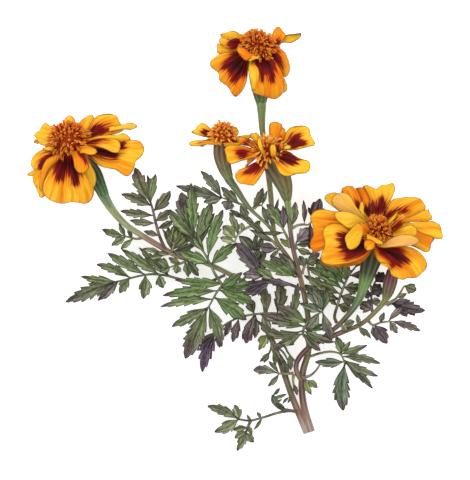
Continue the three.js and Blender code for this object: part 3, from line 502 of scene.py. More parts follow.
STALK_OF_FRONT_BLOOM = (
    [[37.5, -46.2, 13.4, 1.15], [42.4, -42.2, 13.2, 1.15], [47.2, -38.2, 13.3, 1.2],
     [51.8, -33.2, 13.8, 1.35], [55.2, -28.6, 14.3, 1.65], [57.3, -24.2, 14.8, 2.1],
     [58.2, -21.4, 14.9, 2.3]],
    [PURPLE_BROWN, PURPLE_BROWN, MIXED, PALE_GREEN])
STEMS = [MAIN_STEM, STEM_OF_LEFT_BLOOM, STALK_OF_SMALL_BLOOM, STALK_OF_TOP_BLOOM, BRANCH_OF_BUD,
         STALK_OF_FRONT_BLOOM]
STEM_SIDES = 16
STEM_STEP = 1.0
STEM_RIDGES = 5
STEM_RIDGE_DEPTH = 0.07
STEM_RIDGE_LIGHT = 0.55  # how much paler the ridges are
OWN_GRAIN = 5.0  # places the grain of one stem apart from the next one's


def blend_tints(tints, share):
    """Colours spread evenly along 0 to 1, read at the given shares, one for each ring."""
    table = np.array(tints)
    places = np.linspace(0, 1, len(tints))
    return np.stack([np.interp(share, places, table[:, k]) for k in range(3)], axis=-1)[:, None, :]


def make_stems():
    piece = Piece("stems")
    for k, (points, tints) in enumerate(STEMS):
        points = np.array(points, float)
        rings, flow, crest, run = tube_rings(points[:, :3], points[:, 3], STEM_SIDES, STEM_STEP,
                                             STEM_RIDGES, STEM_RIDGE_DEPTH)
        other_grain = [0, 0, OWN_GRAIN * k]
        piece.tube(rings, flow + other_grain, crest * STEM_RIDGE_LIGHT, blend_tints(tints, run / run[-1]))
    piece.build(STEM)


# Leaves. A leaf is its colour and its sprays. A spray is its rib, as x, y, z from the stem outwards, and
# its leaflets. A leaflet is the share of the rib where it leaves, its tip x, y, z and its width. Some rows
# go on with the leaflet's own colour, the share of its length where it is widest, the share from which it
# is browned and how far it bows to the left, as a share of its length.
GREEN = colour(112, 126, 82)
BRIGHT = colour(104, 128, 74)
LIGHT = colour(144, 152, 104)
DARK = colour(88, 94, 72)
GREY = colour(114, 118, 92)
DULL = colour(122, 128, 92)
MAUVE = colour(118, 106, 100)
PURPLE = colour(92, 76, 86)
PLUM = colour(74, 58, 74)
TIP_BROWN = colour(100, 76, 84)
VIOLET = colour(92, 70, 98)
SEA_LEAF = colour(102, 116, 94)
DUSK = colour(100, 98, 68)
OLIVE_LEAF = colour(102, 102, 74)
SPROUT = colour(128, 136, 84)
LILAC = colour(124, 110, 118)
DARK_RIB = colour(84, 74, 70)
RIB_GREEN = colour(98, 112, 82)
BROWNED = 0.78  # share of a leaflet's length from which it turns purple-brown
Leaflet = namedtuple("Leaflet", "share x y z width tint peak browned bow",
                     defaults=(None, None, BROWNED, None))
LEAVES = {
    "leaf_upper_left": (OLIVE_LEAF, [
        ([[-31.2, -3.6, 13.6], [-33.6, 2, 15.5], [-35.5, 9, 17.3], [-36.5, 13.5, 18.2],
          [-37.5, 17, 18.8]], [
            [1, -44.5, 32.5, 19, 5, DUSK, 0.6, 0.6], [0.98, -39, 29.2, 17.6, 1.8, DUSK, 0.6],
            [0.97, -35.2, 29.5, 19.5, 3.2, GREEN], [0.8, -28.6, 22, 20, 4], [0.92, -50.5, 20.6, 18.5, 3.8],
            [0.72, -51, 13, 17.5, 3.1], [0.56, -46.8, 8.8, 16.5, 2.6], [0.6, -28.2, 13.6, 18, 3],
            [0.44, -27.4, 8.6, 17.5, 2.4], [0.28, -40.6, 4, 15.5, 1.9]])]),
    "leaf_small_left": (GREEN, [
        ([[-41, 1, 12], [-44, 0.5, 11], [-47, 1.2, 10.3], [-49.5, 1.8, 10]], [
            [1, -59.5, 4.8, 9.5, 2.7], [0.92, -51.8, 7.6, 9.5, 1.7], [0.55, -48, 4.8, 9.8, 1.4],
            [0.9, -55.2, -2.5, 9.5, 2.6], [0.5, -51, -4, 10, 2]])]),
    "leaf_long_left": (GREEN, [
        ([[-4, -15.8, 9.2], [-12, -18.9, 8.2], [-22, -18.2, 7.6], [-31, -16, 7.2], [-38, -15.5, 7],
          [-45, -16.8, 6.6], [-50, -18.2, 6.3], [-54, -19, 6]], [
            [1, -76, -28, 1.5, 5.2, GREY, 0.5, 0.62], [0.96, -61.5, -27.4, 4, 3, MAUVE],
            [0.98, -69, -16.5, 5, 3.1, GREEN, 0.5, 0.7], [0.85, -62, -11, 6, 3.3],
            [0.72, -57, -6, 7.5, 3.8], [0.6, -50.6, -4.2, 7.5, 3.8], [0.5, -42.8, -3.4, 8.5, 3.3],
            [0.86, -51.6, -24, 5, 3.4], [0.72, -41, -26.5, 5, 4.2], [0.6, -32, -21.6, 6, 3.4]])]),
    "leaf_pair_front": (BRIGHT, [
        ([[-1.4, -17.6, 11.6], [-3.4, -19.4, 13.2], [-5.2, -20.4, 14], [-8, -24, 14], [-10.2, -28, 13.6],
          [-12, -31, 13]], [
            [0.2, -26.5, -18, 12.5, 3.5], [0.48, -32, -25, 12, 4.1],
            [0.72, -33, -30, 10.5, 3.5, GREEN, 0.5, 0.7], [0.95, -28, -39, 9.5, 4.1, GREEN, 0.55, 0.85],
            [1, -22, -53.5, 7, 6.8, GREEN, 0.6, 0.42], [0.93, -5.5, -48, 9, 4.6, GREEN, 0.5, 0.62],
            [0.66, 5.6, -36, 12.6, 5.4], [0.44, 9.6, -28.6, 14.2, 4.8], [0.4, 12, -18.6, 14.8, 3.8],
            [0.38, 3.6, -14.6, 15.5, 3.4]]),
        ([[-5.2, -20.4, 14], [-8.6, -15.2, 15], [-11.6, -9, 16.4], [-13.8, -5.2, 17.2], [-16.4, -1.8, 18],
          [-18.4, 0.6, 18.6]], [
            [0.99, -22, 18, 19.6, 3.2, GREEN, 0.6], [0.98, -23.6, 21.4, 18.8, 6, GREY, 0.68, 0.5],
            [0.97, -29.6, 13.4, 20.2, 4.2, GREEN, 0.6], [1, -19.4, 25.6, 21.5, 4.4, BRIGHT, 0.6],
            [0.9, -14.4, 12, 18.8, 3, GREEN, 0.55], [0.93, -10.2, 16.6, 18.6, 4.8, GREEN, 0.62],
            [0.8, -8.8, 12, 18, 2.6, DARK, 0.6], [0.7, -24, 3.8, 18, 2.4, DARK, 0.5],
            [0.62, -22.6, 8.8, 18.2, 2.8, GREEN, 0.5], [0.55, -5, 13.6, 19.5, 4.3, BRIGHT, 0.6],
            [0.42, 1.4, -1.4, 15.4, 4], [0.46, -25.4, -4.8, 17, 4]])]),
    "leaf_left_low": (GREEN, [
        ([[-20.5, -9, 10.2], [-24, -10.6, 10.3], [-29, -12.3, 10.2]], [
            [1, -35.4, -8.4, 10, 3], [0.95, -33.4, -14.4, 9.6, 2.8], [0.6, -26, -15, 9.6, 3],
            [0.2, -20.6, -16.6, 9.4, 2.8], [0.05, -16, -16.2, 9.6, 3.2],
            [0.4, -29.4, -8, 10.4, 2.2, SPROUT], [0.1, -17.4, -13, 9.8, 2, SPROUT]])]),
    "leaf_left_narrow": (DULL, [
        ([[-26.4, -6, 12.6], [-29, -6.4, 12.6], [-31.5, -6.6, 12.2]], [
            [1, -41, -3.8, 11, 1.7], [0.9, -38.6, -8, 11, 2.2], [0.5, -35, -5.5, 13.8, 1.6]])]),
    "leaf_left_upright": (GREEN, [
        ([[-28, -5.2, 13], [-26.8, -1.5, 14.4], [-25, 2, 15.2]], [
            [0.02, -32.2, 5, 15.5, 1.6, OLIVE_LEAF], [0.2, -29.6, 5.8, 15.5, 2.6, OLIVE_LEAF],
            [0.45, -26.4, 7.8, 16, 2.8, SPROUT], [0.35, -22.6, 8.6, 16, 3, GREEN],
            [0.15, -20, 4.6, 15.6, 2.8, SPROUT], [0.3, -24, 5, 15.8, 1.6, LIGHT],
            [0.02, -15.6, -0.4, 14.8, 2.2, DARK], [0, -14.8, -8.4, 14.2, 3, GREY, 0.5],
            [0.8, -24.8, 9.4, 15.4, 1.8, GREEN], [0.08, -17.8, 2.2, 15.2, 2.2, GREEN]])]),
    "leaf_purple_centre": (PLUM, [
        ([[31, -22.6, 17.3], [27, -20.7, 18], [21, -18.6, 18.6], [16.6, -17.4, 18.9], [12.6, -16.6, 19]], [
            [1, 0.8, -1.2, 20, 5.6, PURPLE, 0.6], [0.98, 4, -15.4, 19, 3.8, LILAC],
            [0.25, 12.2, -17.4, 18.6, 2.6, PURPLE], [0.76, 4.6, -24.2, 17.6, 4.8, PLUM, 0.6],
            [0.95, 10.2, -9.6, 19.6, 2.8, MAUVE, 0.5], [0.7, 9.6, -12.6, 20.2, 3, GREEN, 0.5]]),
        ([[29.2, -15.9, 18.4], [27.4, -16.6, 19]], [
            [0.3, 16.4, -7.6, 20.2, 4.2, GREY, 0.6], [0.5, 20, -5.8, 19.8, 3.2, GREY, 0.6],
            [0.6, 22.6, -6.4, 19.4, 2, GREY], [0.8, 17.4, -10.4, 20.8, 3.2, BRIGHT, 0.55],
            [1, 10.4, -8.8, 21.2, 4.2, GREEN, 0.5]])]),
    "leaf_lower_centre": (GREEN, [
        ([[33.2, -45, 13.6], [31, -42, 15.5], [32.5, -37.8, 16.4], [36, -34.3, 17.2], [40, -32, 17.6]], [
            [0.5, 19, -29.2, 15.5, 4.8, BRIGHT, 0.5, 0.12],
            [0.4, 11.8, -33.4, 14.6, 4.4, BRIGHT, 0.5, 0.05],
            [0.3, 10, -36, 13.6, 3.4, OLIVE_LEAF, 0.5, 0.6, 0.2], [0.22, 21.2, -47, 13.5, 3.6, LIGHT, 0.7],
            [0.24, 38.8, -49.8, 16, 3.4, GREY], [0.3, 45, -46, 17, 3.2, BRIGHT, 0.5, 0.2],
            [0.36, 40.6, -40.2, 16.4, 2, BRIGHT], [0.42, 40.8, -38.2, 17, 1.3, GREEN],
            [0.9, 32.4, -40.4, 17.4, 3.2, GREY], [0.96, 29.4, -28.4, 18.5, 2.8, SEA_LEAF],
            [1, 34.6, -21.6, 18.6, 2.8, SEA_LEAF], [1, 37.6, -21.6, 18.2, 2, SEA_LEAF],
            [1, 41.6, -21.4, 18, 2.4], [0.97, 31.8, -23.4, 18.2, 2, GREY],
            [0.98, 44, -45, 18.4, 3.4, GREY, 0.6, 0.2], [0.7, 36.6, -38.6, 16.8, 1.8, GREY, 0.5]])]),
    "leaf_hanging": (MAUVE, [
        ([[32.4, -36, 12.2], [26.4, -35.6, 12], [20, -33.3, 12], [12, -33.2, 11.9], [4, -34.5, 9.6],
          [-3, -37.5, 6.6], [-8.5, -42, 4.6]], [
            [0.15, 28.8, -19.4, 12.5, 3, DULL, 0.5], [0.3, 20.6, -17.4, 12, 4.4, OLIVE_LEAF, 0.5],
            [0.4, 12.8, -19.4, 12.2, 3.4, OLIVE_LEAF, 0.5], [0.53, 5.8, -25, 12, 3.2, OLIVE_LEAF, 0.5],
            [0.45, 15.4, -41.4, 13.2, 3.2, LIGHT], [0.52, 5.4, -46.6, 8, 4, MAUVE, 0.7, 0.2],
            [0.52, 9.4, -44.2, 9, 2.2, MAUVE, 0.7, 0.2], [0.53, 3.8, -44.8, 8.2, 2, PURPLE, 0.7],
            [0.7, -0.6, -46, 6.5, 3, MAUVE, 0.6, 0.1], [0.78, -4.2, -43.6, 6.5, 2.2],
            [1, -14.4, -59.6, 0.6, 4.8, VIOLET], [0.97, -17.2, -48.6, 3, 2.6],
            [0.96, -6.4, -48.6, 3.4, 2.4]])]),
    "leaf_low_left": (DARK, [
        ([[19.4, -50.4, 9], [17, -46.6, 10.4], [14.8, -42.6, 11]], [
            [0.98, 11.2, -49.6, 9.5, 3, SPROUT, 0.4], [0.98, 10.6, -45.4, 10.4, 1.4, SPROUT],
            [1, 13.6, -36.2, 11.4, 3.2, DULL, 0.5]]),
        ([[17, -45.6, 10.6], [16.8, -48.6, 10], [15.6, -51.6, 9]], [
            [0.8, 11.6, -54.9, 8, 1.7, RIB_GREEN, 0.5], [0.85, 13.4, -55.4, 8.2, 1.3, RIB_GREEN, 0.5]]),
        ([[17.2, -47, 10.6], [17.8, -50.6, 9.8], [18.4, -53.4, 9.2]], [
            [0.5, 18.6, -57, 8.6, 1.5, RIB_GREEN, 0.5], [0.1, 21.6, -56.6, 9.2, 2.2, OLIVE_LEAF, 0.5]]),
        ([[16.4, -44.6, 11], [18.6, -47.6, 10.8], [22, -50.4, 10.6], [24.2, -54, 10]], [
            [0.5, 21.8, -45.2, 11.8, 2.2, MAUVE, 0.5]]),
        ([[18.4, -47.4, 10.8], [21, -47, 11.4], [23, -48.2, 11.6], [24.2, -50.6, 11],
          [27.4, -54.4, 10.4]], [
            [0.69, 25.6, -58.8, 9.4, 2, OLIVE_LEAF, 0.5], [0.3, 28.4, -43.6, 11.8, 3, DULL, 0.55]])]),
    "leaf_fork_low": (GREEN, [
        ([[26.8, -60, 8.8], [23.5, -60.3, 9], [20, -60.2, 8.8]], [
            [1, 8.8, -58.6, 7.6, 3.4, GREY, 0.72, 0.35], [0.95, 15.6, -54.7, 8.4, 1.5, GREY, 0.6],
            [0.94, 15.4, -66, 7.6, 1.8, GREY, 0.6], [0.25, 22, -54.2, 10.2, 2.2, OLIVE_LEAF, 0.5],
            [0.3, 20.2, -50.6, 10, 1.8, OLIVE_LEAF, 0.5]]),
        ([[27, -60.4, 8.8], [26.6, -63, 8.6], [27, -65.8, 8]], [
            [0.8, 28.6, -70, 7.4, 1.6, OLIVE_LEAF, 0.5]])]),
    "leaf_fork_right": (SPROUT, [
        ([[30.8, -61.4, 8.4], [31.6, -62.4, 8.8], [33, -63.4, 8.9]], [
            [0.5, 35, -69.8, 6.5, 2.2, SPROUT, 0.5], [1, 37.6, -66.6, 7.5, 2.4, SPROUT, 0.5]]),
        ([[31.4, -61.9, 8.4], [34.2, -61.2, 9], [36.8, -59, 9.8], [38.8, -56, 10.4]], [])]),
    "leaf_bottom": (DULL, [
        ([[28.6, -77.6, 5.4], [25.5, -77.1, 5.9], [20, -78, 5], [13, -80.2, 3.8], [7, -81.6, 2.9],
          [2, -81, 2.4]], [
            [1, -12, -75, 1.4, 3.6], [0.98, 0.3, -74.4, 2.6, 3.2], [1, -8.8, -86.8, 1, 4],
            [0.78, 5.8, -79, 3.2, 1], [0.62, 10.4, -77.8, 4, 1.3], [0.6, 9, -85.8, 3, 1.1]]),
        ([[7.6, -81.5, 2.9], [6.4, -84.2, 2.3], [5.2, -87.6, 1.8]], [
            [1, 1.4, -95.3, 0.6, 2.8], [0.5, -0.2, -85.8, 2, 2.1], [0.8, 0.3, -89.6, 1.6, 2.3],
            [0.9, 8.8, -91.4, 1.4, 2.7], [0.4, 8, -87.8, 2.2, 1.5]]),
        ([[25.5, -77.1, 5.9], [20.5, -75.8, 7], [17.2, -72.6, 7.5], [17.4, -69.8, 7.8]], [
            [0.96, 20.6, -66.8, 8.2, 1.2, RIB_GREEN], [0.9, 23.8, -69.4, 8.6, 1.2, LIGHT],
            [0.62, 21.6, -71.8, 8, 0.9, LIGHT], [0.5, 17.6, -69.8, 8.3, 1.7, RIB_GREEN, 0.5],
            [0.15, 17.6, -73.2, 7.8, 1.6, RIB_GREEN, 0.5]]),
        ([[26, -70.6, 7.2], [25, -70.8, 7.6]], [
            [1, 22, -73.8, 7, 0.9, RIB_GREEN], [0.6, 24.2, -73.6, 7, 0.8, RIB_GREEN]])]),
    "leaf_right_low": (GREEN, [
        ([[33, -52.8, 9.2], [35.2, -52.2, 10], [38, -51.2, 11], [44, -50.3, 11.2], [48, -51.5, 11],
          [50, -55.5, 10.4]], [
            [1, 49.2, -77, 5, 5.9, SEA_LEAF, 0.6, 0.7], [0.97, 36.6, -55, 9.6, 3.2, SEA_LEAF],
            [0.8, 46, -43.6, 10.4, 3.2], [0.78, 60, -47.4, 10.5, 2.4], [0.74, 52.4, -45.8, 11, 1.7],
            [0.84, 66, -55.6, 8.6, 3, GREY], [0.92, 65, -61.4, 7.6, 2.9, GREY],
            [0.97, 62.6, -67, 6.6, 2.8, GREY]])]),
    "leaf_right_end": (MAUVE, [
        ([[60.6, -36.6, 12.2], [62.5, -38.3, 12], [66, -37.2, 12.2], [70.5, -36.6, 12.4]], [
            [1, 84, -41, 10.4, 2.8], [0.9, 76.2, -29.8, 15, 2.2], [0.95, 73.6, -42, 10.6, 2.6],
            [0.3, 69, -46.6, 10, 4.8, PURPLE], [0.25, 63.6, -44.2, 10.6, 1.7],
            [0.55, 67.6, -32.6, 14.6, 1.8]])]),
    "leaf_bud_right": (PURPLE, [
        ([[68.9, -29.4, 12.4], [71, -28.6, 12.2]], [
            [1, 86, -31.8, 10.5, 5.4, PURPLE, 0.42], [1, 79.4, -27.2, 13, 2]])]),
    "leaf_bud_curl": (DULL, [
        ([[67.8, -29, 14.2], [72.8, -26.4, 13.6], [76.8, -20.6, 12.6]], [
            [1, 82, -22.6, 12.5, 3.8], [0.5, 77.8, -24, 12.6, 1.6]])]),
    "leaf_right_middle": (BRIGHT, [
        ([[46.2, -37.2, 12.2], [45.3, -34.8, 11.2], [46.6, -29.5, 10.6], [48.7, -23, 10.5],
          [51.4, -16.5, 10.5], [54.4, -12.5, 10.5]], [
            [0.68, 35.4, -8.4, 13, 5.2, BRIGHT, 0.5, 0.9], [0.58, 32.6, -12.2, 13.2, 4, BRIGHT, 0.5, 0.8],
            [0.74, 46.4, -9.6, 12.6, 4.8, BRIGHT, 0.5, 0.9], [0.76, 50.4, -11, 12.2, 3.2, GREEN, 0.5, 0.9],
            [0.84, 64, -15, 8.6, 3.2, MAUVE], [0.62, 58.4, -21.8, 8.8, 4, OLIVE_LEAF, 0.5],
            [0.48, 56.4, -28, 8.8, 4, OLIVE_LEAF, 0.5], [0.32, 53.4, -32, 9.4, 3.2, OLIVE_LEAF, 0.5],
            [0.5, 31.6, -16, 12.6, 4, SPROUT, 0.5], [0.42, 30.8, -20.4, 12, 5, GREY, 0.5],
            [0.4, 34.4, -24.2, 11.4, 3.6, DARK], [0.3, 42.4, -25.4, 10.8, 1.8, OLIVE_LEAF],
            [1, 58.5, -5, 9, 3.4]])]),
    "leaf_behind_right": (MAUVE, [
        ([[62.3, -32.4, 11.8], [62, -28, 10.8], [62, -23.5, 10], [63.5, -19, 9.4]], [
            [0.7, 67, -22, 8.6, 4.2, DARK], [0.05, 56.4, -28.6, 9.4, 4.6, MAUVE, 0.5, 0.4],
            [1, 67.6, -14.6, 8.6, 4, PURPLE], [0.3, 66, -27.4, 9.8, 2.8, GREY],
            [0.6, 58.4, -24.6, 9, 3.4, PURPLE], [0.55, 66, -19.8, 8.8, 4.4, PURPLE, 0.5]])]),
    "leaf_right_upper": (MAUVE, [
        ([[26.2, 5.2, 19.6], [28.2, 6.5, 19.2], [31, 7, 18], [33.4, 6.9, 17.4], [35.4, 9, 16.4]], [
            [1, 38.8, 18.6, 14.5, 5.4, PLUM, 0.4, 0.2], [0.55, 31.2, 18, 19.4, 1.7],
            [0.85, 34.2, -4, 14.6, 3.6, PURPLE]])]),
    "leaf_right_purple": (MAUVE, [
        ([[28.2, -4.2, 18.2], [27.9, -2.6, 18.5], [27.9, -1.2, 18.6]], [
            [1, 33, 5.6, 20.6, 4.4, LILAC, 0.6], [0.6, 35.2, -1.4, 17, 2.2, DARK, 0.5],
            [0.1, 35, -6.2, 16.4, 2.2, GREEN, 0.5]])]),
    "leaf_under_front": (DULL, [
        ([[30.6, -15.4, 16.2], [31.6, -12, 15.8], [33.6, -8.4, 15.4], [36, -4.8, 15]], [
            [0.3, 29.4, -7.2, 15.4, 3.4, SEA_LEAF, 0.5], [0.45, 37.6, -9, 13.8, 2.8, GREY],
            [0.7, 38.6, -6, 14, 2.8, LILAC, 0.5]]),
        ([[33.8, -8.2, 15.2], [33.4, -13, 13.8], [34.8, -19, 12.4]], [])]),
    "leaf_front_low": (DULL, [
        ([[47.4, -38.6, 14.4], [52, -38.9, 15.2], [57, -39.2, 15.4]], [
            [1, 61.6, -44.2, 14.2, 1.6], [0.9, 58.8, -43.4, 14.4, 1.3], [0.9, 55.4, -33.6, 15.2, 1.6],
            [0.2, 54.2, -36.6, 15.6, 2.8], [0.1, 50.6, -41.2, 15.4, 2]])]),
    "leaf_top_left": (GREY, [
        ([[6.4, 14.4, 21.8], [2.4, 16.3, 21.2], [-1.5, 17.8, 21], [-5.6, 19, 21]], [
            [1, -26, 24.3, 17.4, 3.8], [0.98, -15, 31, 22.4, 3.5], [0.97, -13.6, 17, 22.6, 3.1],
            [0.35, -5.6, 23.8, 24.4, 3.4], [0.7, -3.4, 13.6, 20, 4.4, MAUVE], [0.32, 6, 9.4, 19, 3]])]),
    "leaf_centre_light": (LIGHT, [
        ([[19.6, -3.2, 18.4], [17, -0.2, 18.6], [13.4, 2.6, 17.8], [9, 6.2, 17.4], [4, 9.6, 17.2]], [
            [1, -2, 13.6, 16.6, 1.8, GREY, 0.5], [0.12, 7, 4.8, 17.6, 1.8, GREY, 0.5],
            [0.35, 6.2, 8.8, 18.2, 2.2, GREY, 0.5], [0.6, 1.4, 11.8, 18.2, 2, GREY, 0.5],
            [0.7, 11.8, 8.6, 17.6, 2, SPROUT, 0.5]]),
        ([[9, 6.8, 17.4], [4.5, 4.8, 17.6], [1.3, 1.8, 17.6], [0.4, -1, 17.6]], [
            [0.7, -1.9, 12.6, 19.4, 2.4], [0.85, -5, 6.2, 18.6, 4.2], [0.5, 3.4, 7.8, 18.6, 2],
            [0.66, 0.2, 9, 18.8, 1.5], [1, -6.2, 1, 18, 2.8]])]),
    "leaf_centre_thin": (GREEN, [
        ([[8.2, 13.6, 22.6], [8.5, 14.8, 23]], [
            [0.3, 13, 23.4, 23.4, 2.9, OLIVE_LEAF, 0.55]]),
        ([[8.9, 14, 22.6], [10.6, 15.4, 22.6], [12.6, 15.6, 22.4]], [
            [1, 14.9, 22, 22.6, 1.4, LIGHT], [0.98, 15.6, 7.4, 21.6, 1.5, GREY],
            [0.95, 17, 6.6, 21.4, 1.1, GREY]])]),
    "leaf_centre_right": (LIGHT, [
        ([[25, -3.6, 19.4], [24.3, 0, 20], [22.6, 3.8, 20.2], [20, 8.6, 20.4], [18, 12.5, 20]], [
            [0.46, 14.8, 16, 20.6, 4.2, GREEN, 0.62], [0.7, 19.6, 14.6, 20.8, 2, OLIVE_LEAF],
            [1, 20, 18.6, 20.6, 1, MAUVE], [0.8, 13.6, 13.8, 19.8, 1.6, GREY],
            [0.5, 22, 15.4, 21.2, 2.7, PURPLE, 0.5], [0.42, 12.4, 3.4, 23.4, 1.5, OLIVE_LEAF, 0.5],
            [0, 20.6, 0.6, 20.4, 2, SPROUT, 0.5]])]),
    "leaf_cup_right": (GREEN, [
        ([[26, 5.6, 20], [26.1, 7, 20]], [
            [0.4, 27.6, 17, 20.6, 3, GREEN, 0.6, 0.6], [0.6, 28.8, 13.4, 20.8, 1.4, GREY]])]),
    "leaf_grey_centre": (MAUVE, [
        ([[20.4, -4.2, 18.2], [19, -3.9, 17.4]], [
            [0.6, 11.2, -2.9, 16, 3.3, PURPLE, 0.55], [0.1, 16.2, -7.4, 16.4, 1.3, LIGHT]])]),
    "leaf_dark_oval": (DARK, [
        ([[3.6, -18.6, 11.4], [7, -14, 13], [8.7, -9.5, 14.4], [9.2, -5, 15]], [
            [1, 2.2, 1.8, 15.6, 3.3, DARK, 0.5, 0.5], [0.9, 10.6, 3.8, 15, 1.5, GREY, 0.6],
            [0.98, 13, 2, 14.8, 1.8, GREY, 0.6], [0.55, 11.4, -3.4, 14.4, 2, GREY],
            [0.35, 14.8, -3.8, 13.8, 2.8, GREY, 0.6], [0.5, 13.2, -4.6, 14, 1.4, OLIVE_LEAF]])]),
}
RIB_TINTS = {
    "leaf_upper_left": DARK_RIB, "leaf_long_left": DARK, "leaf_hanging": DULL, "leaf_right_end": DULL,
    "leaf_right_upper": LIGHT, "leaf_fork_low": SPROUT, "leaf_behind_right": PURPLE,
    "leaf_pair_front": RIB_GREEN, "leaf_bottom": DARK_RIB, "leaf_centre_light": LIGHT,
    "leaf_low_left": DARK, "leaf_purple_centre": PLUM, "leaf_fork_right": MAUVE,
    "leaf_lower_centre": GREY, "leaf_right_middle": OLIVE_LEAF,
}
SMOOTH_LEAVES = ("leaf_dark_oval", "leaf_grey_centre")
THICK_RIBS = ("leaf_bottom", "leaf_upper_left", "leaf_fork_low", "leaf_purple_centre", "leaf_right_middle")
THICKER = 1.15
RIB_RADII = (0.75, 0.42)  # at the stem and at the tip
RIB_SIDES = 8
RIB_STEP = 0.9
RIB_RIDGES = 3
RIB_RIDGE_DEPTH = 0.08
RIB_RIDGE_LIGHT = 0.6
RIB_BROWN = 0.5  # how brown a rib is where it leaves the stem
TOOTH = 3.6  # spacing of the teeth along a leaflet's edge
TOOTH_DEPTH = 0.36
TOOTH_REACH = 0.16  # how far a tooth points forward, as a share of the leaflet's width
TOOTH_CURVE = 0.9
FULL_TOOTH_WIDTH = 3  # width of a leaflet from which its teeth have their full depth
TOOTH_DEPTHS = (0.8, 1.1)
TOOTH_SHIFTS = (0.3, 0.6)  # how far the right edge's teeth are ahead of the left edge's
TOOTH_START = 0.3  # share of a leaflet's length at which its teeth begin
TOOTH_END = 0.94
LEAFLET_STEP = 0.28
LEAFLET_COLUMNS = 9
LEAFLET_ROWS = (20, 72)
LEAFLET_TEETH = (2, 6)
LEAFLET_BOW = 0.07
LEAFLET_PEAK = (0.46, 0.6)
LEAFLET_FOLD = (0.12, 0.3)  # rise of its halves for each millimetre from the rib
LEAFLET_ARCH = 0.05
LEAFLET_WAVE = 0.05
LEAFLET_HOLLOW = 0.06
WAVES_ALONG = 11
FULLNESS = 1.45  # how much wider a leaflet's blade is than its stated width
BASE_TAPER, TIP_TAPER = 1.45, 0.85
NARROWEST = 0.1  # share of its greatest width that a leaflet has at its foot
TIP_HALF_WIDTH = 0.04
VEIN_SPACING = 3.0
VEIN_SLANT = 3.2  # how far a side vein runs forward for each millimetre sideways
RIB_OFFSET, VEIN_OFFSET = 0.04, 0.14  # added to the distances from them, which makes the veins fainter
# Painted light and shade: one half of each leaflet is kept light and the other is darkened.
LIT_HALF, SHADED_HALF = 0.6, 0.1  # shades of a leaflet's two halves
BROWNING = 0.7  # share of the browned stretch over which the brown comes in
BROWN_EDGE = 0.25
TIP_COVER = 0.88


def leaflet_body(share, peak):
    """Width of a leaflet along its length, as a share of its greatest, which it has at the peak."""
    rising = np.clip(share / peak, 0, 1)
    falling = np.clip((share - peak) / (1 - peak), 0, 1)
    body = np.sin(math.pi / 2 * rising) ** BASE_TAPER * np.cos(math.pi / 2 * falling) ** TIP_TAPER
    return np.maximum(body, NARROWEST)


def toothed(share, teeth, shift, depth):
    """How far a leaflet's edge is drawn in, and how far each tooth reaches forward."""
    place = (share - TOOTH_START) / (TOOTH_END - TOOTH_START) * teeth + shift
    within = (share > TOOTH_START) & (share < TOOTH_END)
    step = np.where(within, place % 1.0, 1.0)
    drawn = np.where(within & (place >= 1.0), 1 - depth * (1 - step) ** TOOTH_CURVE, 1.0)
    return drawn, np.where(within, step ** 2, 0)


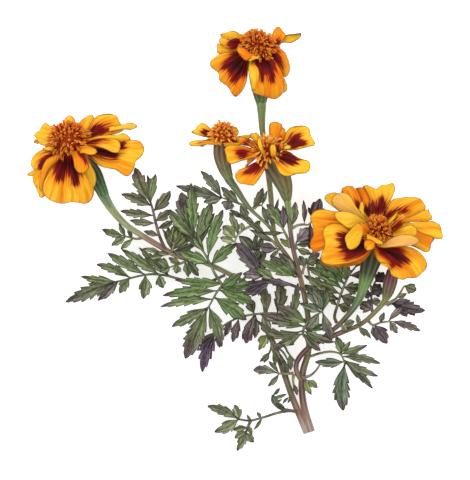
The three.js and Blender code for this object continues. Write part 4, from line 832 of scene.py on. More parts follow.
def leaflet(piece, root, row, tint, toothless, seed):
    """A toothed leaflet, folded along its rib."""
    own = random.Random(seed)
    tip = np.array([row.x, row.y, row.z], float)
    length = np.linalg.norm(tip - root)
    forward = unit((tip - root) * FLAT)
    side = np.array([-forward[1], forward[0], 0.0])
    bow = own.uniform(-LEAFLET_BOW, LEAFLET_BOW) if row.bow is None else row.bow
    rows = int(np.clip(length / LEAFLET_STEP, *LEAFLET_ROWS))
    share = np.linspace(0, 1, rows)
    arch = np.sin(math.pi * share)
    centre = root + (tip - root) * share[:, None] + side * (bow * length * arch)[:, None]
    centre[:, 2] += LEAFLET_ARCH * length * arch
    body = leaflet_body(share, row.peak or own.uniform(*LEAFLET_PEAK))
    teeth = int(np.clip(round(length * (TOOTH_END - TOOTH_START) / TOOTH), *LEAFLET_TEETH))
    depth = 0.0
    if not toothless:
        depth = TOOTH_DEPTH * own.uniform(*TOOTH_DEPTHS) * min(row.width / FULL_TOOTH_WIDTH, 1)
    sides = []
    for shift in (0.0, own.uniform(*TOOTH_SHIFTS)):
        drawn, reach = toothed(share, teeth, shift, depth)
        half = row.width / 2 * FULLNESS * body * drawn
        half[-1] = TIP_HALF_WIDTH
        sides.append((half, reach * (0 if toothless else TOOTH_REACH) * row.width * (1.1 - share)))
    u = np.linspace(-1, 1, LEAFLET_COLUMNS)
    grid = np.zeros((rows, LEAFLET_COLUMNS, 3))
    flow = np.zeros((rows, LEAFLET_COLUMNS, 3))
    rim = np.zeros((rows, LEAFLET_COLUMNS))
    vein = np.zeros((rows, LEAFLET_COLUMNS))
    fold = own.uniform(*LEAFLET_FOLD)
    sway = own.uniform(0, 6)
    for j, a in enumerate(u):
        half, reach = sides[0] if a < 0 else sides[1]
        grid[:, j] = centre + side * (a * half)[:, None] + forward * (reach * abs(a) ** 4)[:, None]
        grid[:, j, 2] += fold * abs(a) * half
        grid[:, j, 2] += LEAFLET_WAVE * row.width * abs(a) * np.sin(share * WAVES_ALONG + sway + a)
        grid[:, j, 2] -= LEAFLET_HOLLOW * row.width * (1 - abs(a)) ** 2 * arch
        flow[:, j, 0] = a * row.width / 2
        rim[:, j] = half * (1 - abs(a))
        place = (share * length - VEIN_SLANT * abs(a) * half) / VEIN_SPACING
        from_rib = abs(a) * half + RIB_OFFSET
        from_vein = np.abs(place % 1.0 - 0.5) * VEIN_SPACING * 0.5 + VEIN_OFFSET
        vein[:, j] = np.minimum(from_rib, from_vein)
    flow[..., 1] = (share * length)[:, None]
    flow[..., 2] = own.uniform(0, 50)
    # Painted light and shade: the lit half gets a high tone and the shaded half a low one.
    light = np.where(u > 0, LIT_HALF, SHADED_HALF) * np.ones((rows, 1)) * own.uniform(0.5, 1.0)
    aged = np.clip((share - row.browned) / (BROWNING * (1 - row.browned)), 0, 1)
    aged = aged[:, None] * own.uniform(0.8, 1.0) + BROWN_EDGE * np.abs(u) ** 3
    aged = np.clip(aged, 0, 1)[..., None]
    tip_tint = tint * (1 - TIP_COVER) + np.array(TIP_BROWN) * TIP_COVER
    piece.sheet(grid, LEAF_THICKNESS, flow, rim, vein, light, tint * (1 - aged) + tip_tint * aged)


def make_rib(piece, name, rib):
    """A leaf's rib, browner towards the stem."""
    radii = np.linspace(*RIB_RADII, len(rib)) * (THICKER if name in THICK_RIBS else 1.0)
    rings, flow, crest, run = tube_rings(np.array(rib, float), radii, RIB_SIDES, RIB_STEP, RIB_RIDGES,
                                         RIB_RIDGE_DEPTH)
    brown = RIB_BROWN * np.clip(1 - run / run[-1] * 1.2, 0, 1)[:, None, None]
    tint = np.array(RIB_TINTS.get(name, OLIVE)) * (1 - brown) + np.array(PURPLE_BROWN) * brown
    piece.tube(rings, flow, crest * RIB_RIDGE_LIGHT, tint, mark=FAR_AWAY)


def make_leaves():
    for number, (name, (leaf_tint, sprays)) in enumerate(LEAVES.items()):
        piece = Piece(name)
        for s, (rib, leaflets) in enumerate(sprays):
            make_rib(piece, name, rib)
            path = smooth(rib, 24)
            run = lengths(path)
            for k, values in enumerate(leaflets):
                row = Leaflet(*values)
                root = np.array([np.interp(row.share * run[-1], run, path[:, c]) for c in range(3)])
                shade = random.Random(number * 100 + s * 37 + k).uniform(0.8, 1.2)
                tint = np.array(row.tint or leaf_tint) * shade
                leaflet(piece, root, row, tint, name in SMOOTH_LEAVES, number * 1000 + s * 100 + k)
        piece.build(LEAF)


# Blooms. A ray petal is its left edge, its end and its right edge, seen from the head outwards in the
# picture, its heights halfway and at the end, its shade and the outline of its dark red blotch. A shade of
# -1 is deep orange, 1 is yellow and 2 is faded. The root is put near the head's rim, below the disc, unless
# it is given. A fold is its place across the petal and its depth.
Ray = namedtuple("Ray", "left end right heights tone blotch root fold", defaults=(None, None, None))
LEFT_RAYS = [
    Ray([(-77.5, 50), (-76.5, 54)], [(-75.5, 55.5), (-74, 56.2), (-72.6, 55.5)], [(-71, 50), (-71.8, 54)],
        (12, 8), 0.4),
    Ray([(-70, 50), (-69, 54)], [(-67, 55.3), (-64, 56.6), (-63, 55)], [(-66.5, 47.5), (-63.8, 51.5)],
        (13, 9.5), 0.5),
    Ray([(-83, 44), (-84, 42.5), (-87, 43)], [(-88.5, 44.5), (-88.8, 46), (-90.3, 47), (-87.5, 49.5)],
        [(-81, 51), (-83, 51.5), (-84.5, 52.8), (-86, 52)], (17, 14.5), 0.7),
    Ray([(-83, 34), (-86, 33), (-90, 31.6)], [(-93.5, 29.2)], [(-84, 30), (-88, 28.6), (-90.8, 28.8)],
        (17, 14), 0.8),
    Ray([(-84, 37), (-88, 33.4), (-90.3, 29.5), (-90.2, 26), (-88.2, 23.5)], [(-87.8, 20.5), (-87, 18.8),
        (-85.2, 19.5)], [(-80, 34), (-84, 28), (-85.4, 24)], (22, 17.5), 0.5),
    Ray([(-80, 40.3), (-84, 40.8), (-88, 39.5), (-90.5, 37)], [(-91.2, 33.5), (-90, 31.8), (-88, 30)],
        [(-79, 36), (-84, 33.5), (-86.3, 30.5)], (25, 20), 0.5, [(-79, 40.2), (-84, 38.7), (-87.5, 34.5),
        (-87.3, 30), (-85, 30), (-83.5, 34.5), (-79, 37)]),
    Ray([(-79, 38.6), (-84, 36), (-86.3, 31), (-87.3, 26)], [(-87.2, 22.5), (-86, 21.8)], [(-78, 36),
        (-82, 33), (-84.6, 28), (-85.4, 24.5)], (27.5, 23), -0.1),
    Ray([(-66, 37.5), (-64.2, 34), (-62.6, 31), (-61.9, 27.4)], [(-62.6, 24), (-63.8, 23)], [(-69, 35),
        (-67.5, 30), (-65.5, 25.5)], (25, 21), 0.9),
    Ray([(-66, 47.8), (-65, 51.5), (-62.5, 55), (-60, 56.3), (-55.5, 56.7)], [(-52.7, 55.7), (-51.2, 52.8),
        (-50, 51.2)], [(-64.5, 45), (-60, 46.3), (-55, 47.3), (-52, 48), (-49.6, 49.5)], (19, 19.5), 0.45,
        [(-66.5, 46.4), (-64, 51), (-61, 52), (-58, 51), (-54.5, 50.5), (-57, 49), (-60, 47.3)]),
    Ray([(-51, 51.6), (-46, 52.7)], [(-43.1, 51)], [(-49, 49.7), (-46.4, 49.5)], (21, 20.5), 1.5,
        root=[(-56, 50.6), (-56, 48.8)]),
    Ray([(-62, 46.4), (-58, 47), (-52, 47.3), (-49.5, 47.9)], [(-47.5, 46.8), (-46, 45), (-47.3, 44.4)],
        [(-62, 44.4), (-54, 44.8), (-49.5, 43.8)], (23.5, 22.5), 0.7),
    Ray([(-60, 43), (-51, 44), (-47, 44.6), (-43.2, 44.7)], [(-41, 43), (-40.2, 40.5), (-41.5, 37.5),
        (-44, 35.3), (-44.6, 33), (-46, 30)], [(-65, 37.2), (-60, 33.2), (-56, 32.2), (-53, 31.5),
        (-50, 29.4), (-47.7, 28.6)], (26.5, 26), 0.5, [(-64, 40.5), (-60, 42), (-55, 42), (-51.5, 44.4),
        (-49.4, 43.8), (-48.8, 41.8), (-49.6, 40.2), (-52, 40.6), (-53.6, 39.8), (-52, 38.4), (-53, 36.3),
        (-57, 36.3), (-61, 37.4), (-64, 38)]),
    Ray([(-61, 45.6), (-55, 45.4), (-52.4, 45)], [(-50.9, 43.5), (-50.9, 41), (-51.6, 39.2)], [(-63, 42),
        (-58, 40.8), (-54, 39.1)], (29, 30.5), 0.5, [(-66, 43.4), (-62.4, 45.8), (-59, 45.6), (-56, 45.4),
        (-58.6, 44.2), (-62, 43.2)]),
    Ray([(-78, 36.5), (-81, 33), (-84, 28.4), (-85.4, 25)], [(-85.5, 22), (-84.5, 19.5), (-82, 17.6),
        (-79, 16.6), (-76, 16.3), (-73.4, 17), (-70, 16.8), (-66.5, 16.3), (-64, 18)], [(-71, 36.6),
        (-67.5, 31), (-65.2, 27), (-62.8, 23), (-63, 20.5)], (31, 25.5), 0.25, [(-79, 36.5), (-80.2, 31),
        (-78.3, 26.5), (-76.3, 27.5), (-75, 30.5), (-73, 28), (-72, 24.5), (-70, 25.5), (-69, 29.5),
        (-68.6, 34), (-71, 37.3)], fold=(0.5, 0.8)),
    Ray([(-80.5, 42), (-83, 41.9), (-85, 41.3)], [(-86, 40.9)], [(-79.5, 40), (-83, 40.1), (-85, 40.4)],
        (28, 26), 0.9),
    Ray([(-73.2, 40.5), (-72.3, 37.5), (-71.6, 34.5), (-71.3, 32.5)], [(-70, 30.5), (-68, 29.8),
        (-66, 30.5)], [(-68, 40), (-65.2, 36.5), (-64.8, 34), (-65, 32.3)], (33, 33.5), 0.15,
        [(-69.6, 39.8), (-67.6, 38.6), (-66.2, 35.8), (-66.6, 34.2), (-68, 36.2), (-69.8, 38.4)]),
    Ray([(-69.5, 38.8), (-67, 38.7), (-65, 38.1), (-62.6, 38.2)], [(-61.1, 39.4), (-61.7, 40.6)],
        [(-69, 42), (-65.5, 42.2), (-63.2, 41.4)], (33.5, 34.5), 0.2),
]
TOP_RAYS = [
    Ray([(18, 88.5), (21, 91), (24, 92.5), (27, 92.7)], [(30.6, 93.1), (30.2, 91.7)], [(18, 86.8),
        (22, 88.9), (25.5, 88.8), (28, 89.9)], (10, 13.5), 0.9),
    Ray([(16.6, 90), (17.2, 92.5), (18.2, 94.8)], [(19.6, 96.1), (20.7, 95.9), (22, 94), (23.6, 92.3)],
        [(17.5, 87.2), (19.5, 86.9), (21.5, 89), (22.7, 91)], (13, 11), 0.15, [(15.5, 87.5), (17.5, 89.8),
        (19.5, 90.6), (20.5, 89), (19.8, 87), (17, 86.4)]),
    Ray([(3.4, 92.2), (0, 94.2), (-2, 93.9)], [(-4, 93.2), (-6.9, 92.5), (-5.6, 91.2)], [(2.6, 89.5),
        (-2, 89.7)], (15, 12.5), 0.1),
    Ray([(1, 87), (-5, 87.6), (-7.3, 88.6)], [(-8, 88), (-7.5, 86.3), (-7.8, 84.7), (-7, 83.8)], [(1, 84.4),
        (-2.4, 84.3), (-5, 83.6)], (16.5, 14.5), 0.45),
    Ray([(2, 90.8), (-2, 90), (-5, 90.8)], [(-6.6, 90.6), (-6.7, 89.2), (-6, 88.2)], [(1.7, 86.2),
        (-1.2, 85.5), (-4.5, 87)], (20, 17), 0.2, [(3, 88.6), (-1.8, 90.4), (-2.5, 88), (-1.2, 85.8),
        (2, 85.6)]),
    Ray([(20.6, 77), (22.4, 73), (23.8, 69.5)], [(23.8, 67.3), (22.8, 66.4), (21.6, 66.2)], [(17.6, 77),
        (20, 71), (20.6, 67.5)], (18, 15.5), 0.5),
    Ray([(17.4, 86.2), (19.6, 86.4), (22.5, 84.6), (24.1, 81.5), (25, 78.5)], [(24.9, 75.8), (23.9, 73.8),
        (22.7, 73.2)], [(16.6, 81.6), (19.5, 78.5), (21.2, 76), (22, 74.5)], (21.5, 17), 0.2, [(16.4, 84.8),
        (18.5, 86.1), (20.3, 84.4), (21.4, 80), (21.8, 77), (20, 78), (17, 81)]),
    Ray([(0.8, 84.6), (-4.2, 84.1), (-7.8, 82.6)], [(-10.5, 80.2), (-10.7, 78.2), (-8.6, 76.2),
        (-6.8, 74.8), (-6.6, 71.8), (-4.8, 70.2), (-2.8, 68.8), (-1, 65.8), (0.6, 64.2)], [(6.3, 79.5),
        (6.2, 76), (5.5, 71), (3.4, 66.6)], (27, 23), 0.12, [(2, 84.5), (-2, 82.3), (-4.6, 79), (-5, 76.4),
        (-2.4, 76), (-1.8, 73), (-0.2, 70.2), (2.4, 72.2), (6.5, 74), (6.6, 79), (4.5, 82.5)]),
    Ray([(8, 79.5), (6.9, 76), (7.6, 70.6)], [(8.3, 66.3), (11, 65.2), (14.8, 64), (18.4, 63.3),
        (20.6, 64.5), (22, 66.3)], [(17.8, 80.8), (19.8, 78.2), (21.6, 75), (22.5, 71.7), (22.4, 68.7)],
        (28.5, 23.5), 0.14, [(8.2, 82), (9.6, 78), (11.4, 74.5), (12, 71.2), (13.2, 71.4), (14, 73.4),
        (15, 74), (15.5, 71), (17.6, 70.2), (18.4, 73), (18.9, 77), (17.6, 82)]),
    Ray([(6.9, 79.6), (6.5, 75.2), (7.6, 70.5)], [(8.4, 66.3)], [(8.9, 80), (11, 76.4), (11.4, 73.2),
        (10.6, 70)], (30.2, 25.5), 0.75),
    Ray([(7.8, 83.5), (4.7, 85.8), (2.6, 86.5)], [(1.3, 86.3), (1.5, 84.5)], [(7, 81), (5.6, 80.1),
        (3.2, 82.2)], (31.5, 30), -0.35, root=[(10.6, 83.6), (9.4, 81.4)]),
    Ray([(9, 82.5), (7.6, 83.2)], [(6.4, 81.5), (6.6, 79.9)], [(9.4, 80.9), (8.3, 80.4), (7.6, 79.8)],
        (31.8, 31), 0.7, root=[(11.4, 82.2), (10.8, 81)]),
]
SMALL_RAYS = [
    Ray([(-1, 50.5), (0.9, 50.8)], [(2.1, 49), (2, 47.5)], [(-1, 46.8), (0.6, 46.4)], (23, 22.6), 0.6),
    Ray([(-9.6, 49.4), (-11.5, 51), (-13, 52.2), (-14.8, 52.4)], [(-16.2, 51.5), (-17.5, 49.5),
        (-19.8, 48.4), (-18, 47.6)], [(-9, 45.6), (-12, 45.9), (-15, 46.7)], (26, 25), 0.6, [(-14.6, 48.2),
        (-13.5, 48.9), (-11.9, 48.5), (-9, 48), (-9, 46.2), (-11.4, 46), (-13.5, 47)]),
    Ray([(-3, 45.7), (1, 46.3), (4, 46.9), (7.3, 47.2)], [(8.3, 46.5)], [(-4.5, 43), (0, 42.9), (4, 44.4),
        (7, 45.8)], (28, 24), 0.7, [(-3.6, 44.3), (-1.5, 45.2), (1.4, 45.1), (0.5, 44), (-2, 43.8)]),
    Ray([(-7, 44.9), (-10, 45), (-14, 44.7), (-18.5, 44.4)], [(-20.5, 43.2), (-19.5, 42.2)], [(-5, 42.9),
        (-9, 42.6), (-12, 42.8), (-16, 42.1)], (30, 28.5), 1.1, [(-15.5, 43.3), (-12, 44.2), (-8.5, 44.5),
        (-8.5, 44.1), (-12, 43.7)]),
    Ray([(-5, 43.6), (1, 43.6), (4.6, 44.4)], [(5.6, 43.8)], [(-4.5, 41.9), (0, 42.2), (3, 42.7)], (30, 27),
        0.8),
]
MIDDLE_RAYS = [
    Ray([(10, 43), (8.4, 45), (7.2, 46.4)], [(7.4, 47.9), (9, 47.9), (10.4, 48.2), (11, 47.4)], [(12, 43.6),
        (11.4, 46)], (25.5, 24.5), 0.2),
    Ray([(16.4, 45), (15.7, 48), (15.7, 50.8), (16.3, 52.4)], [(18, 53), (19.8, 52.8), (21.5, 51.8)],
        [(20.8, 44), (21.8, 47), (21.8, 50)], (24.5, 23.5), -0.1, fold=(0.4, 0.6)),
    Ray([(19.4, 43.6), (20.3, 47.5), (21.2, 49.6)], [(22.2, 50.4), (22.9, 49.8)], [(21.4, 42.9),
        (22.9, 46.5)], (26, 25), 0.0, [(19.8, 43.4), (20.4, 46.4), (21, 46), (21.6, 43.8)]),
    Ray([(11, 42.4), (6, 45.2), (3.5, 46.2)], [(1.8, 46.1), (0.8, 44.8)], [(11.4, 40), (6.5, 41.9),
        (3, 42.9)], (29.5, 28.5), 0.4, [(4.2, 44.9), (6.4, 44.6), (6.2, 42.9), (5, 42.5)]),
    Ray([(20.6, 42.6), (22.3, 45), (23.2, 48), (24.5, 49.8), (26.5, 50.8), (28.8, 51.1)], [(32.2, 51.1),
        (33.8, 49.8), (34.5, 46.8), (36.6, 43.1), (36.3, 42.4), (34, 42)], [(20.4, 40.6), (24, 40.1),
        (28, 40.3), (31.5, 41.3)], (27, 27.5), 0.65, [(21.5, 42), (24.3, 44.9), (25.5, 46.8), (29.6, 47.2),
        (29.3, 45.2), (31.6, 43.2), (28.7, 42.3), (27, 40.9), (24.5, 41.8)]),
    Ray([(17.4, 36.6), (18.8, 33), (20.5, 30), (22.2, 28.8), (24.5, 28.5), (27, 29.3)], [(29.5, 30),
        (32, 29.9), (33.8, 31.2), (34.2, 33.2), (33.4, 35.4), (31, 36)], [(20.6, 39), (22.6, 39.9),
        (25, 39.4), (27, 37.8), (28.6, 36.4)], (30, 30), 0.5, [(19.4, 36.8), (21, 37.9), (23, 39.3),
        (25.5, 38.9), (27.6, 37.3), (28.6, 35.3), (27.8, 34.2), (24.8, 33.9), (22.3, 35)]),
    Ray([(13.3, 36), (9.5, 34.9), (5.5, 32.7), (2.2, 31.2)], [(0.7, 29.5), (0.6, 27.8), (2.2, 25.4),
        (4.8, 25), (7.8, 24.4), (9.2, 24.7)], [(14.8, 34.8), (13.4, 31), (12, 28.7), (10.5, 26.8)],
        (31, 31), 0.3, [(9.8, 35), (14, 35.4), (12.6, 32.5), (10.3, 30), (7, 29.6), (4.9, 29.5),
        (6.4, 32.4)]),
    Ray([(11.2, 39.4), (8, 40.9), (3.5, 42.3), (1, 42.4), (-2.5, 42.3)], [(-4.4, 40.7), (-3.6, 38.2),
        (-3.2, 35.6), (-1.8, 34)], [(12.4, 37), (9, 36.7), (5, 35.9), (1.7, 34.9)], (32, 33), 0.3,
        [(1, 37.7), (1.5, 40.1), (5.8, 40.1), (6.6, 39.7), (5.2, 37.8), (4.4, 36.5), (2, 37.2)]),
    Ray([(13, 37.8), (9.6, 41.4), (6.8, 44.6)], [(6.1, 45.4)], [(13.6, 38.6), (11.2, 41.4), (8.2, 44.6)],
        (33.5, 32), 0.3, [(6.8, 43.4), (7.4, 44.2), (9.6, 42), (9, 41.6)]),
    Ray([(13.4, 37), (11.9, 39.5), (10.6, 42.5), (10.6, 45)], [(11.3, 46.4)], [(14.4, 37.6), (13.1, 41),
        (12.2, 44)], (34.6, 33.6), 0.8),
    Ray([(20.3, 38), (21, 40), (22, 41.4)], [(22.2, 42.7), (20.8, 43.6), (19.2, 43.3)], [(18.4, 38.6),
        (18.3, 41.5)], (34, 34), -0.2, [(18.4, 38), (18.2, 41.4), (19.6, 42), (20.4, 39.5), (20, 37.6)]),
    Ray([(21.2, 41.4), (22.6, 42.2), (24.4, 42.5)], [(25.8, 41.8), (25.2, 40.9)], [(21.2, 40.2),
        (23, 40.5)], (32.5, 32.5), 0.9),
    Ray([(16.6, 37.2), (16, 40), (16.1, 42)], [(17.2, 43), (18.4, 42.4)], [(19, 37.6), (18.9, 40)],
        (34.6, 34.6), 0.5),
]
FRONT_RAYS = [
    Ray([(68, 12), (69.8, 15.6), (71.5, 18.3), (74.5, 18.9), (77.5, 19.4)], [(80, 19.2), (82, 19.2),
        (83.7, 18.7), (85.2, 17), (86.3, 14.8)], [(73, 10), (76.6, 9), (80, 10), (83, 12), (85.6, 13.4)],
        (17.5, 15.5), 0.4, [(67, 11), (71, 13), (74, 14), (78.4, 14), (77.5, 12.8), (74, 12.2), (72, 10.5),
        (69, 9)]),
    Ray([(62.4, 13), (61, 18.5), (59.2, 22.5), (58, 24.2)], [(59.5, 24.7), (60.9, 24.5), (62, 23.8),
        (63, 23.5), (64.1, 22.9), (65.2, 24), (66.8, 24.8), (69, 25), (71, 25.7), (71.9, 25.5)],
        [(67.5, 12.6), (69.5, 16.5), (71, 19), (72.4, 22.6)], (15, 13), 0.6, [(61, 12), (60.9, 15.9),
        (62.5, 17.6), (63.5, 17.3), (64.2, 15.6), (65.2, 17.4), (65.8, 18.8), (67.8, 18), (69, 13)],
        fold=(0.45, 1.0)),
    Ray([(57.6, 12.6), (58, 17), (56.8, 20.5)], [(54.8, 23.4), (56.2, 23.7), (58, 23.8)], [(61.6, 12.6),
        (60.9, 18.5), (59.2, 22.2)], (16, 14), -0.55, [(57, 11.5), (57.9, 15.6), (59.4, 15), (61.2, 16),
        (62, 12)]),
    Ray([(55.4, 11), (53.5, 12.8), (53, 17), (50.6, 20.6)], [(47.6, 22), (49.4, 23.9), (51.4, 24.5),
        (53, 24.3)], [(58.6, 12.8), (57, 18.5), (55.2, 22.5)], (18.5, 16), 0.0, [(53.4, 11.4), (53.3, 16.8),
        (54.8, 16), (56.2, 17.4), (57.4, 13)]),
    Ray([(54, 9.5), (46.5, 13.4), (43, 16), (41.2, 17.6)], [(40.6, 18.8), (41.3, 20.3), (43.5, 21.1)],
        [(56, 11), (49, 18), (45.7, 21.3)], (20, 19), 0.6),
    Ray([(76.4, 7.6), (82, 8.3), (87, 8.6)], [(89.2, 9.4), (88.9, 11.2), (87.9, 12), (87.6, 13.9)],
        [(75.4, 9), (82, 11.5), (86, 13.6)], (21, 19.5), 0.6),
    Ray([(74, 3.4), (82, 2.2), (87, 1), (91, 0.6)], [(93, 0.4), (93.7, 0.9), (93.2, 4.2), (92.4, 6.9)],
        [(73, 7), (80, 7.8), (86, 8.4), (89.3, 8.4), (91, 7.4)], (23.5, 22.5), 0.55),
    Ray([(73, 0), (79, -2.4), (82, -3.4)], [(85.2, -5.2), (87, -5.4), (88, -4.2), (88.6, -1.5)], [(74, 4.4),
        (81, 4.5), (86, 2.5), (90, 0.6)], (25, 24), 0.1),
    Ray([(54, 10), (50, 11.8), (44.7, 12.9), (39.5, 13.8), (36.6, 13.2)], [(34.6, 11.2), (34.2, 9),
        (35.2, 6.8), (35.3, 4), (35.6, 2.2), (34.3, -0.5), (34.1, -3), (35.2, -4.8)], [(55, 2), (46, -2),
        (40.5, -4), (38.5, -5), (36.9, -5.5)], (26.5, 25.5), -0.05),
    Ray([(54.5, 11), (51, 12.2), (48, 12.8), (46, 14)], [(43.9, 16.8), (44, 18.6), (45.7, 20.6),
        (48, 21.2)], [(56.8, 12.5), (54.4, 15.6), (52.6, 19), (50.6, 20.8)], (25.5, 23.5), 1.6),
    Ray([(60.4, -4), (56.5, -8), (50, -10), (44, -10.8)], [(39.6, -10.4), (38.1, -9), (39, -6.5)],
        [(61, -6.4), (57, -10.3), (50, -12.2), (43.8, -12.1), (39.5, -10.6)], (25, 24.5), -0.45),
    Ray([(57, 2), (52, 4.7), (49.4, 6.5), (45.7, 7.6), (42.6, 7.1)], [(40.4, 5.2), (39.9, 2), (40.7, -0.5),
        (40.5, -3), (39.3, -5.7), (38.9, -8.5), (40, -10.3)], [(61.3, -4.4), (57.9, -7.6), (53, -9.8),
        (47, -10.9), (43, -11.1)], (30, 28.5), 0.35, [(62, -3), (57, 1.5), (52, 3), (47.5, 3.2), (46, 1.6),
        (47.8, 0), (47.4, -2.5), (48.5, -4.6), (47.2, -6.2), (50, -6.6), (49.8, -8.8), (53, -8), (57, -6.9),
        (60.5, -4.9)]),
    Ray([(63.5, -1.5), (62.7, -4), (63.3, -7.3), (65.4, -10), (68.2, -10.5), (69.6, -13)], [(70.4, -15.4),
        (71.5, -16.4), (73.6, -17.2), (75.7, -17.8), (78, -16.9), (80.4, -17.1), (82.4, -16.5), (84, -15),
        (86, -13), (86.5, -11.4)], [(69.6, -2.6), (76.6, -2.8), (80.4, -3.7), (83.7, -6), (86, -9.2)],
        (29.5, 27.5), 0.25, [(63.6, -2.6), (70, -3.2), (75, -4.3), (77, -7), (78.4, -10.4), (75.5, -10.3),
        (74.6, -12), (72.5, -11.4), (70.3, -12.6), (69.8, -9.6), (66.3, -7)]),
    Ray([(57.5, 7.2), (55, 6.3), (52, 4.9), (48.5, 7)], [(46, 8.9), (45, 10.5), (45.2, 12.5)], [(58, 9.5),
        (55, 11.4), (51, 12.7), (47.4, 12.8)], (31, 30), 1.1),
    Ray([(56, 10.6), (55.6, 12.5), (56.6, 15)], [(57.2, 18.3)], [(59, 10.6), (58.3, 12.8), (58.4, 15)],
        (24, 22.5), 0.7),
    Ray([(57.4, 2.2), (57.2, 3.4), (56.6, 5)], [(55.7, 7), (56.2, 7.9)], [(60.4, 3), (60.8, 5),
        (58.2, 7.2)], (32.5, 32.5), -0.1),
    Ray([(55.6, 7.8), (54, 6.8), (51.4, 4)], [(49.5, 0.8), (50, -1.5), (51.4, -4.4)], [(57, 0.8),
        (55.9, -2), (54, -3.8)], (35.2, 35.4), 0.6, root=[(57.6, 5.4), (57.6, 2.4)]),
    Ray([(70.4, 6.6), (73, 9.8), (75.3, 11.6)], [(76.5, 11.7), (77, 11)], [(71, 3.6), (74.3, 5.6),
        (76.4, 8.2)], (29.5, 28.5), 0.1, [(71, 4.4), (72.6, 7), (74.8, 8.8), (75.3, 8), (73.6, 5.2)]),
    Ray([(69.4, 9.4), (71.4, 11), (72.6, 12.2)], [(73.4, 13.4)], [(70.6, 8), (72.6, 10), (73.2, 11.6)],
        (27.5, 27), 0.8),
    Ray([(70.6, 1.4), (75, 2.1), (78.5, 2.3)], [(81.6, 2), (82.1, 3.6), (81.6, 5.4), (80, 6.7)],
        [(70.8, 3.2), (74, 4.9), (77.5, 6.5)], (32.2, 32), 0.6),
    Ray([(65.6, -3.3), (70, -3.3), (74, -2.9), (79, -2.5), (81.6, -1.6)], [(83.2, -0.3)], [(67.6, -1),
        (69.6, 0.3), (74.3, 2.4), (78.5, 2.4), (81.2, 1.2)], (34.8, 34.4), 1.9),
    Ray([(60.6, 0.4), (58.6, -0.2), (58.2, -2), (59.2, -3)], [(59, -4.7), (61, -4.5)], [(63, -2.4),
        (62.8, -3.6)], (35, 34.6), -0.1, root=[(62.8, 1.6), (63, -1.4)]),
    Ray([(61.6, 2), (64, 0.7), (66, -0.4)], [(67.2, -1.7), (65.6, -2)], [(61.5, -0.2), (63.8, -1.7)],
        (35.8, 35), 0.5, root=[(59.4, 2.8), (59.4, 0.4)]),
]
# centre is where the rays leave the head and facing is the way that the disc looks. disc and dome are the
# disc's radius and height, floret is how far its florets stand out, and cup is the green cup from the head
# down to the stalk. An under ray, on the bloom's lower side, is its tip x, y, z, its width and how far it
# bows up.
BLOOMS = {
    "left": {
        "centre": (-73.6, 42.4, 20), "facing": (-0.28, 0.78, 0.56), "disc": 7.4, "dome": 8.5,
        "floret": 3.0, "florets": 210, "shade": 0.52, "rays": LEFT_RAYS,
        "under": [(-76, 38, -1.5, 14, 4), (-60, 47, -1.2, 13, 4), (-88, 44, 2.4, 10, 4)],
        "cup": [[-73.1, 41, 19], [-68.8, 35.4, 15.8], [-63.4, 29.4, 14.9], [-60.3, 23.9, 15.2],
                [-58.2, 19.2, 15.4]],
        "cup_radii": [5.6, 5.2, 4.3, 3.1, 2.5],
        "cup_tints": [colour(46, 50, 36), colour(46, 52, 36), colour(46, 58, 40), colour(56, 82, 58),
                      SEA_GREEN],
    },
    "top": {
        "centre": (10.6, 84.2, 17.6), "facing": (-0.02, 0.82, 0.57), "disc": 6.4, "dome": 7.6,
        "floret": 2.7, "florets": 220, "shade": 0.5, "rays": TOP_RAYS,
        "under": [(3, 92, 1.8, 11, 3), (15, 91, -1.6, 12, 3), (10, 76, -1.4, 12, 4)],
        "cup": [[10.7, 82.8, 16.7], [11.2, 75.6, 14], [11.9, 68.2, 13.2], [12.3, 61.4, 13.4]],
        "cup_radii": [5.2, 4.9, 4.2, 2.5],
        "cup_tints": [colour(66, 60, 46), colour(66, 64, 50), colour(60, 74, 58), colour(96, 128, 78)],
    },
    "small": {
        "centre": (-5, 44.4, 27), "facing": (0.02, 0.94, 0.34), "disc": 4.6, "dome": 6.2,
        "floret": 2.2, "florets": 120, "shade": 0.82, "rays": SMALL_RAYS,
        "under": [(-8, 49.6, 15, 8, 1), (-14, 42, 18.6, 7, 1)],
        "cup": [[-5.2, 43, 26.4], [-5.4, 38, 25.2], [-4.2, 32.4, 24.4], [-2.2, 27.5, 24.1]],
        "cup_radii": [4.2, 4.0, 3.2, 2.2],
        "cup_tints": [colour(100, 66, 62), colour(112, 98, 68), colour(108, 120, 76)],
    },
    "middle": {
        "centre": (15.6, 38.6, 26), "facing": (-0.28, 0.64, 0.71), "disc": 4.2, "dome": 5.6,
        "floret": 3.6, "florets": 90, "shade": 0.9, "rays": MIDDLE_RAYS,
        "under": [(26, 36, 16, 8, 1), (6, 34, 17, 8, 1)],
        "cup": [[15.9, 37.4, 24.6], [19.4, 31.4, 22.6], [22.5, 24.6, 21.4], [24, 17.6, 20.9]],
        "cup_radii": [5.4, 5.2, 4.0, 1.95],
        "cup_tints": [colour(84, 54, 44), colour(112, 98, 68), colour(108, 112, 72)],
    },
    "front": {
        "centre": (64.6, 2.8, 22), "facing": (0.06, 0.66, 0.75), "disc": 5.2, "dome": 4.6,
        "floret": 2.9, "florets": 200, "shade": 0.54, "rays": FRONT_RAYS,
        "under": [(70, 18, -1.6, 14, 4), (54, 12, -1.4, 14, 5), (80, 4, -1.2, 14, 5)],
        "cup": [[64.3, 1.5, 20.7], [62.2, -6.6, 17.2], [60, -15.2, 15.4], [57.9, -22.6, 14.8]],
        "cup_radii": [5.4, 5.25, 3.8, 2.3],
        "cup_tints": [colour(80, 66, 56), colour(70, 62, 50), colour(66, 62, 48), colour(68, 68, 50),
                      colour(76, 80, 54), colour(112, 140, 84), colour(126, 158, 92)],
    },
}
OUTLINE_STEPS = 14  # points on each span of a petal's outline
GRID_STEP = 0.75  # spacing of a petal's grid
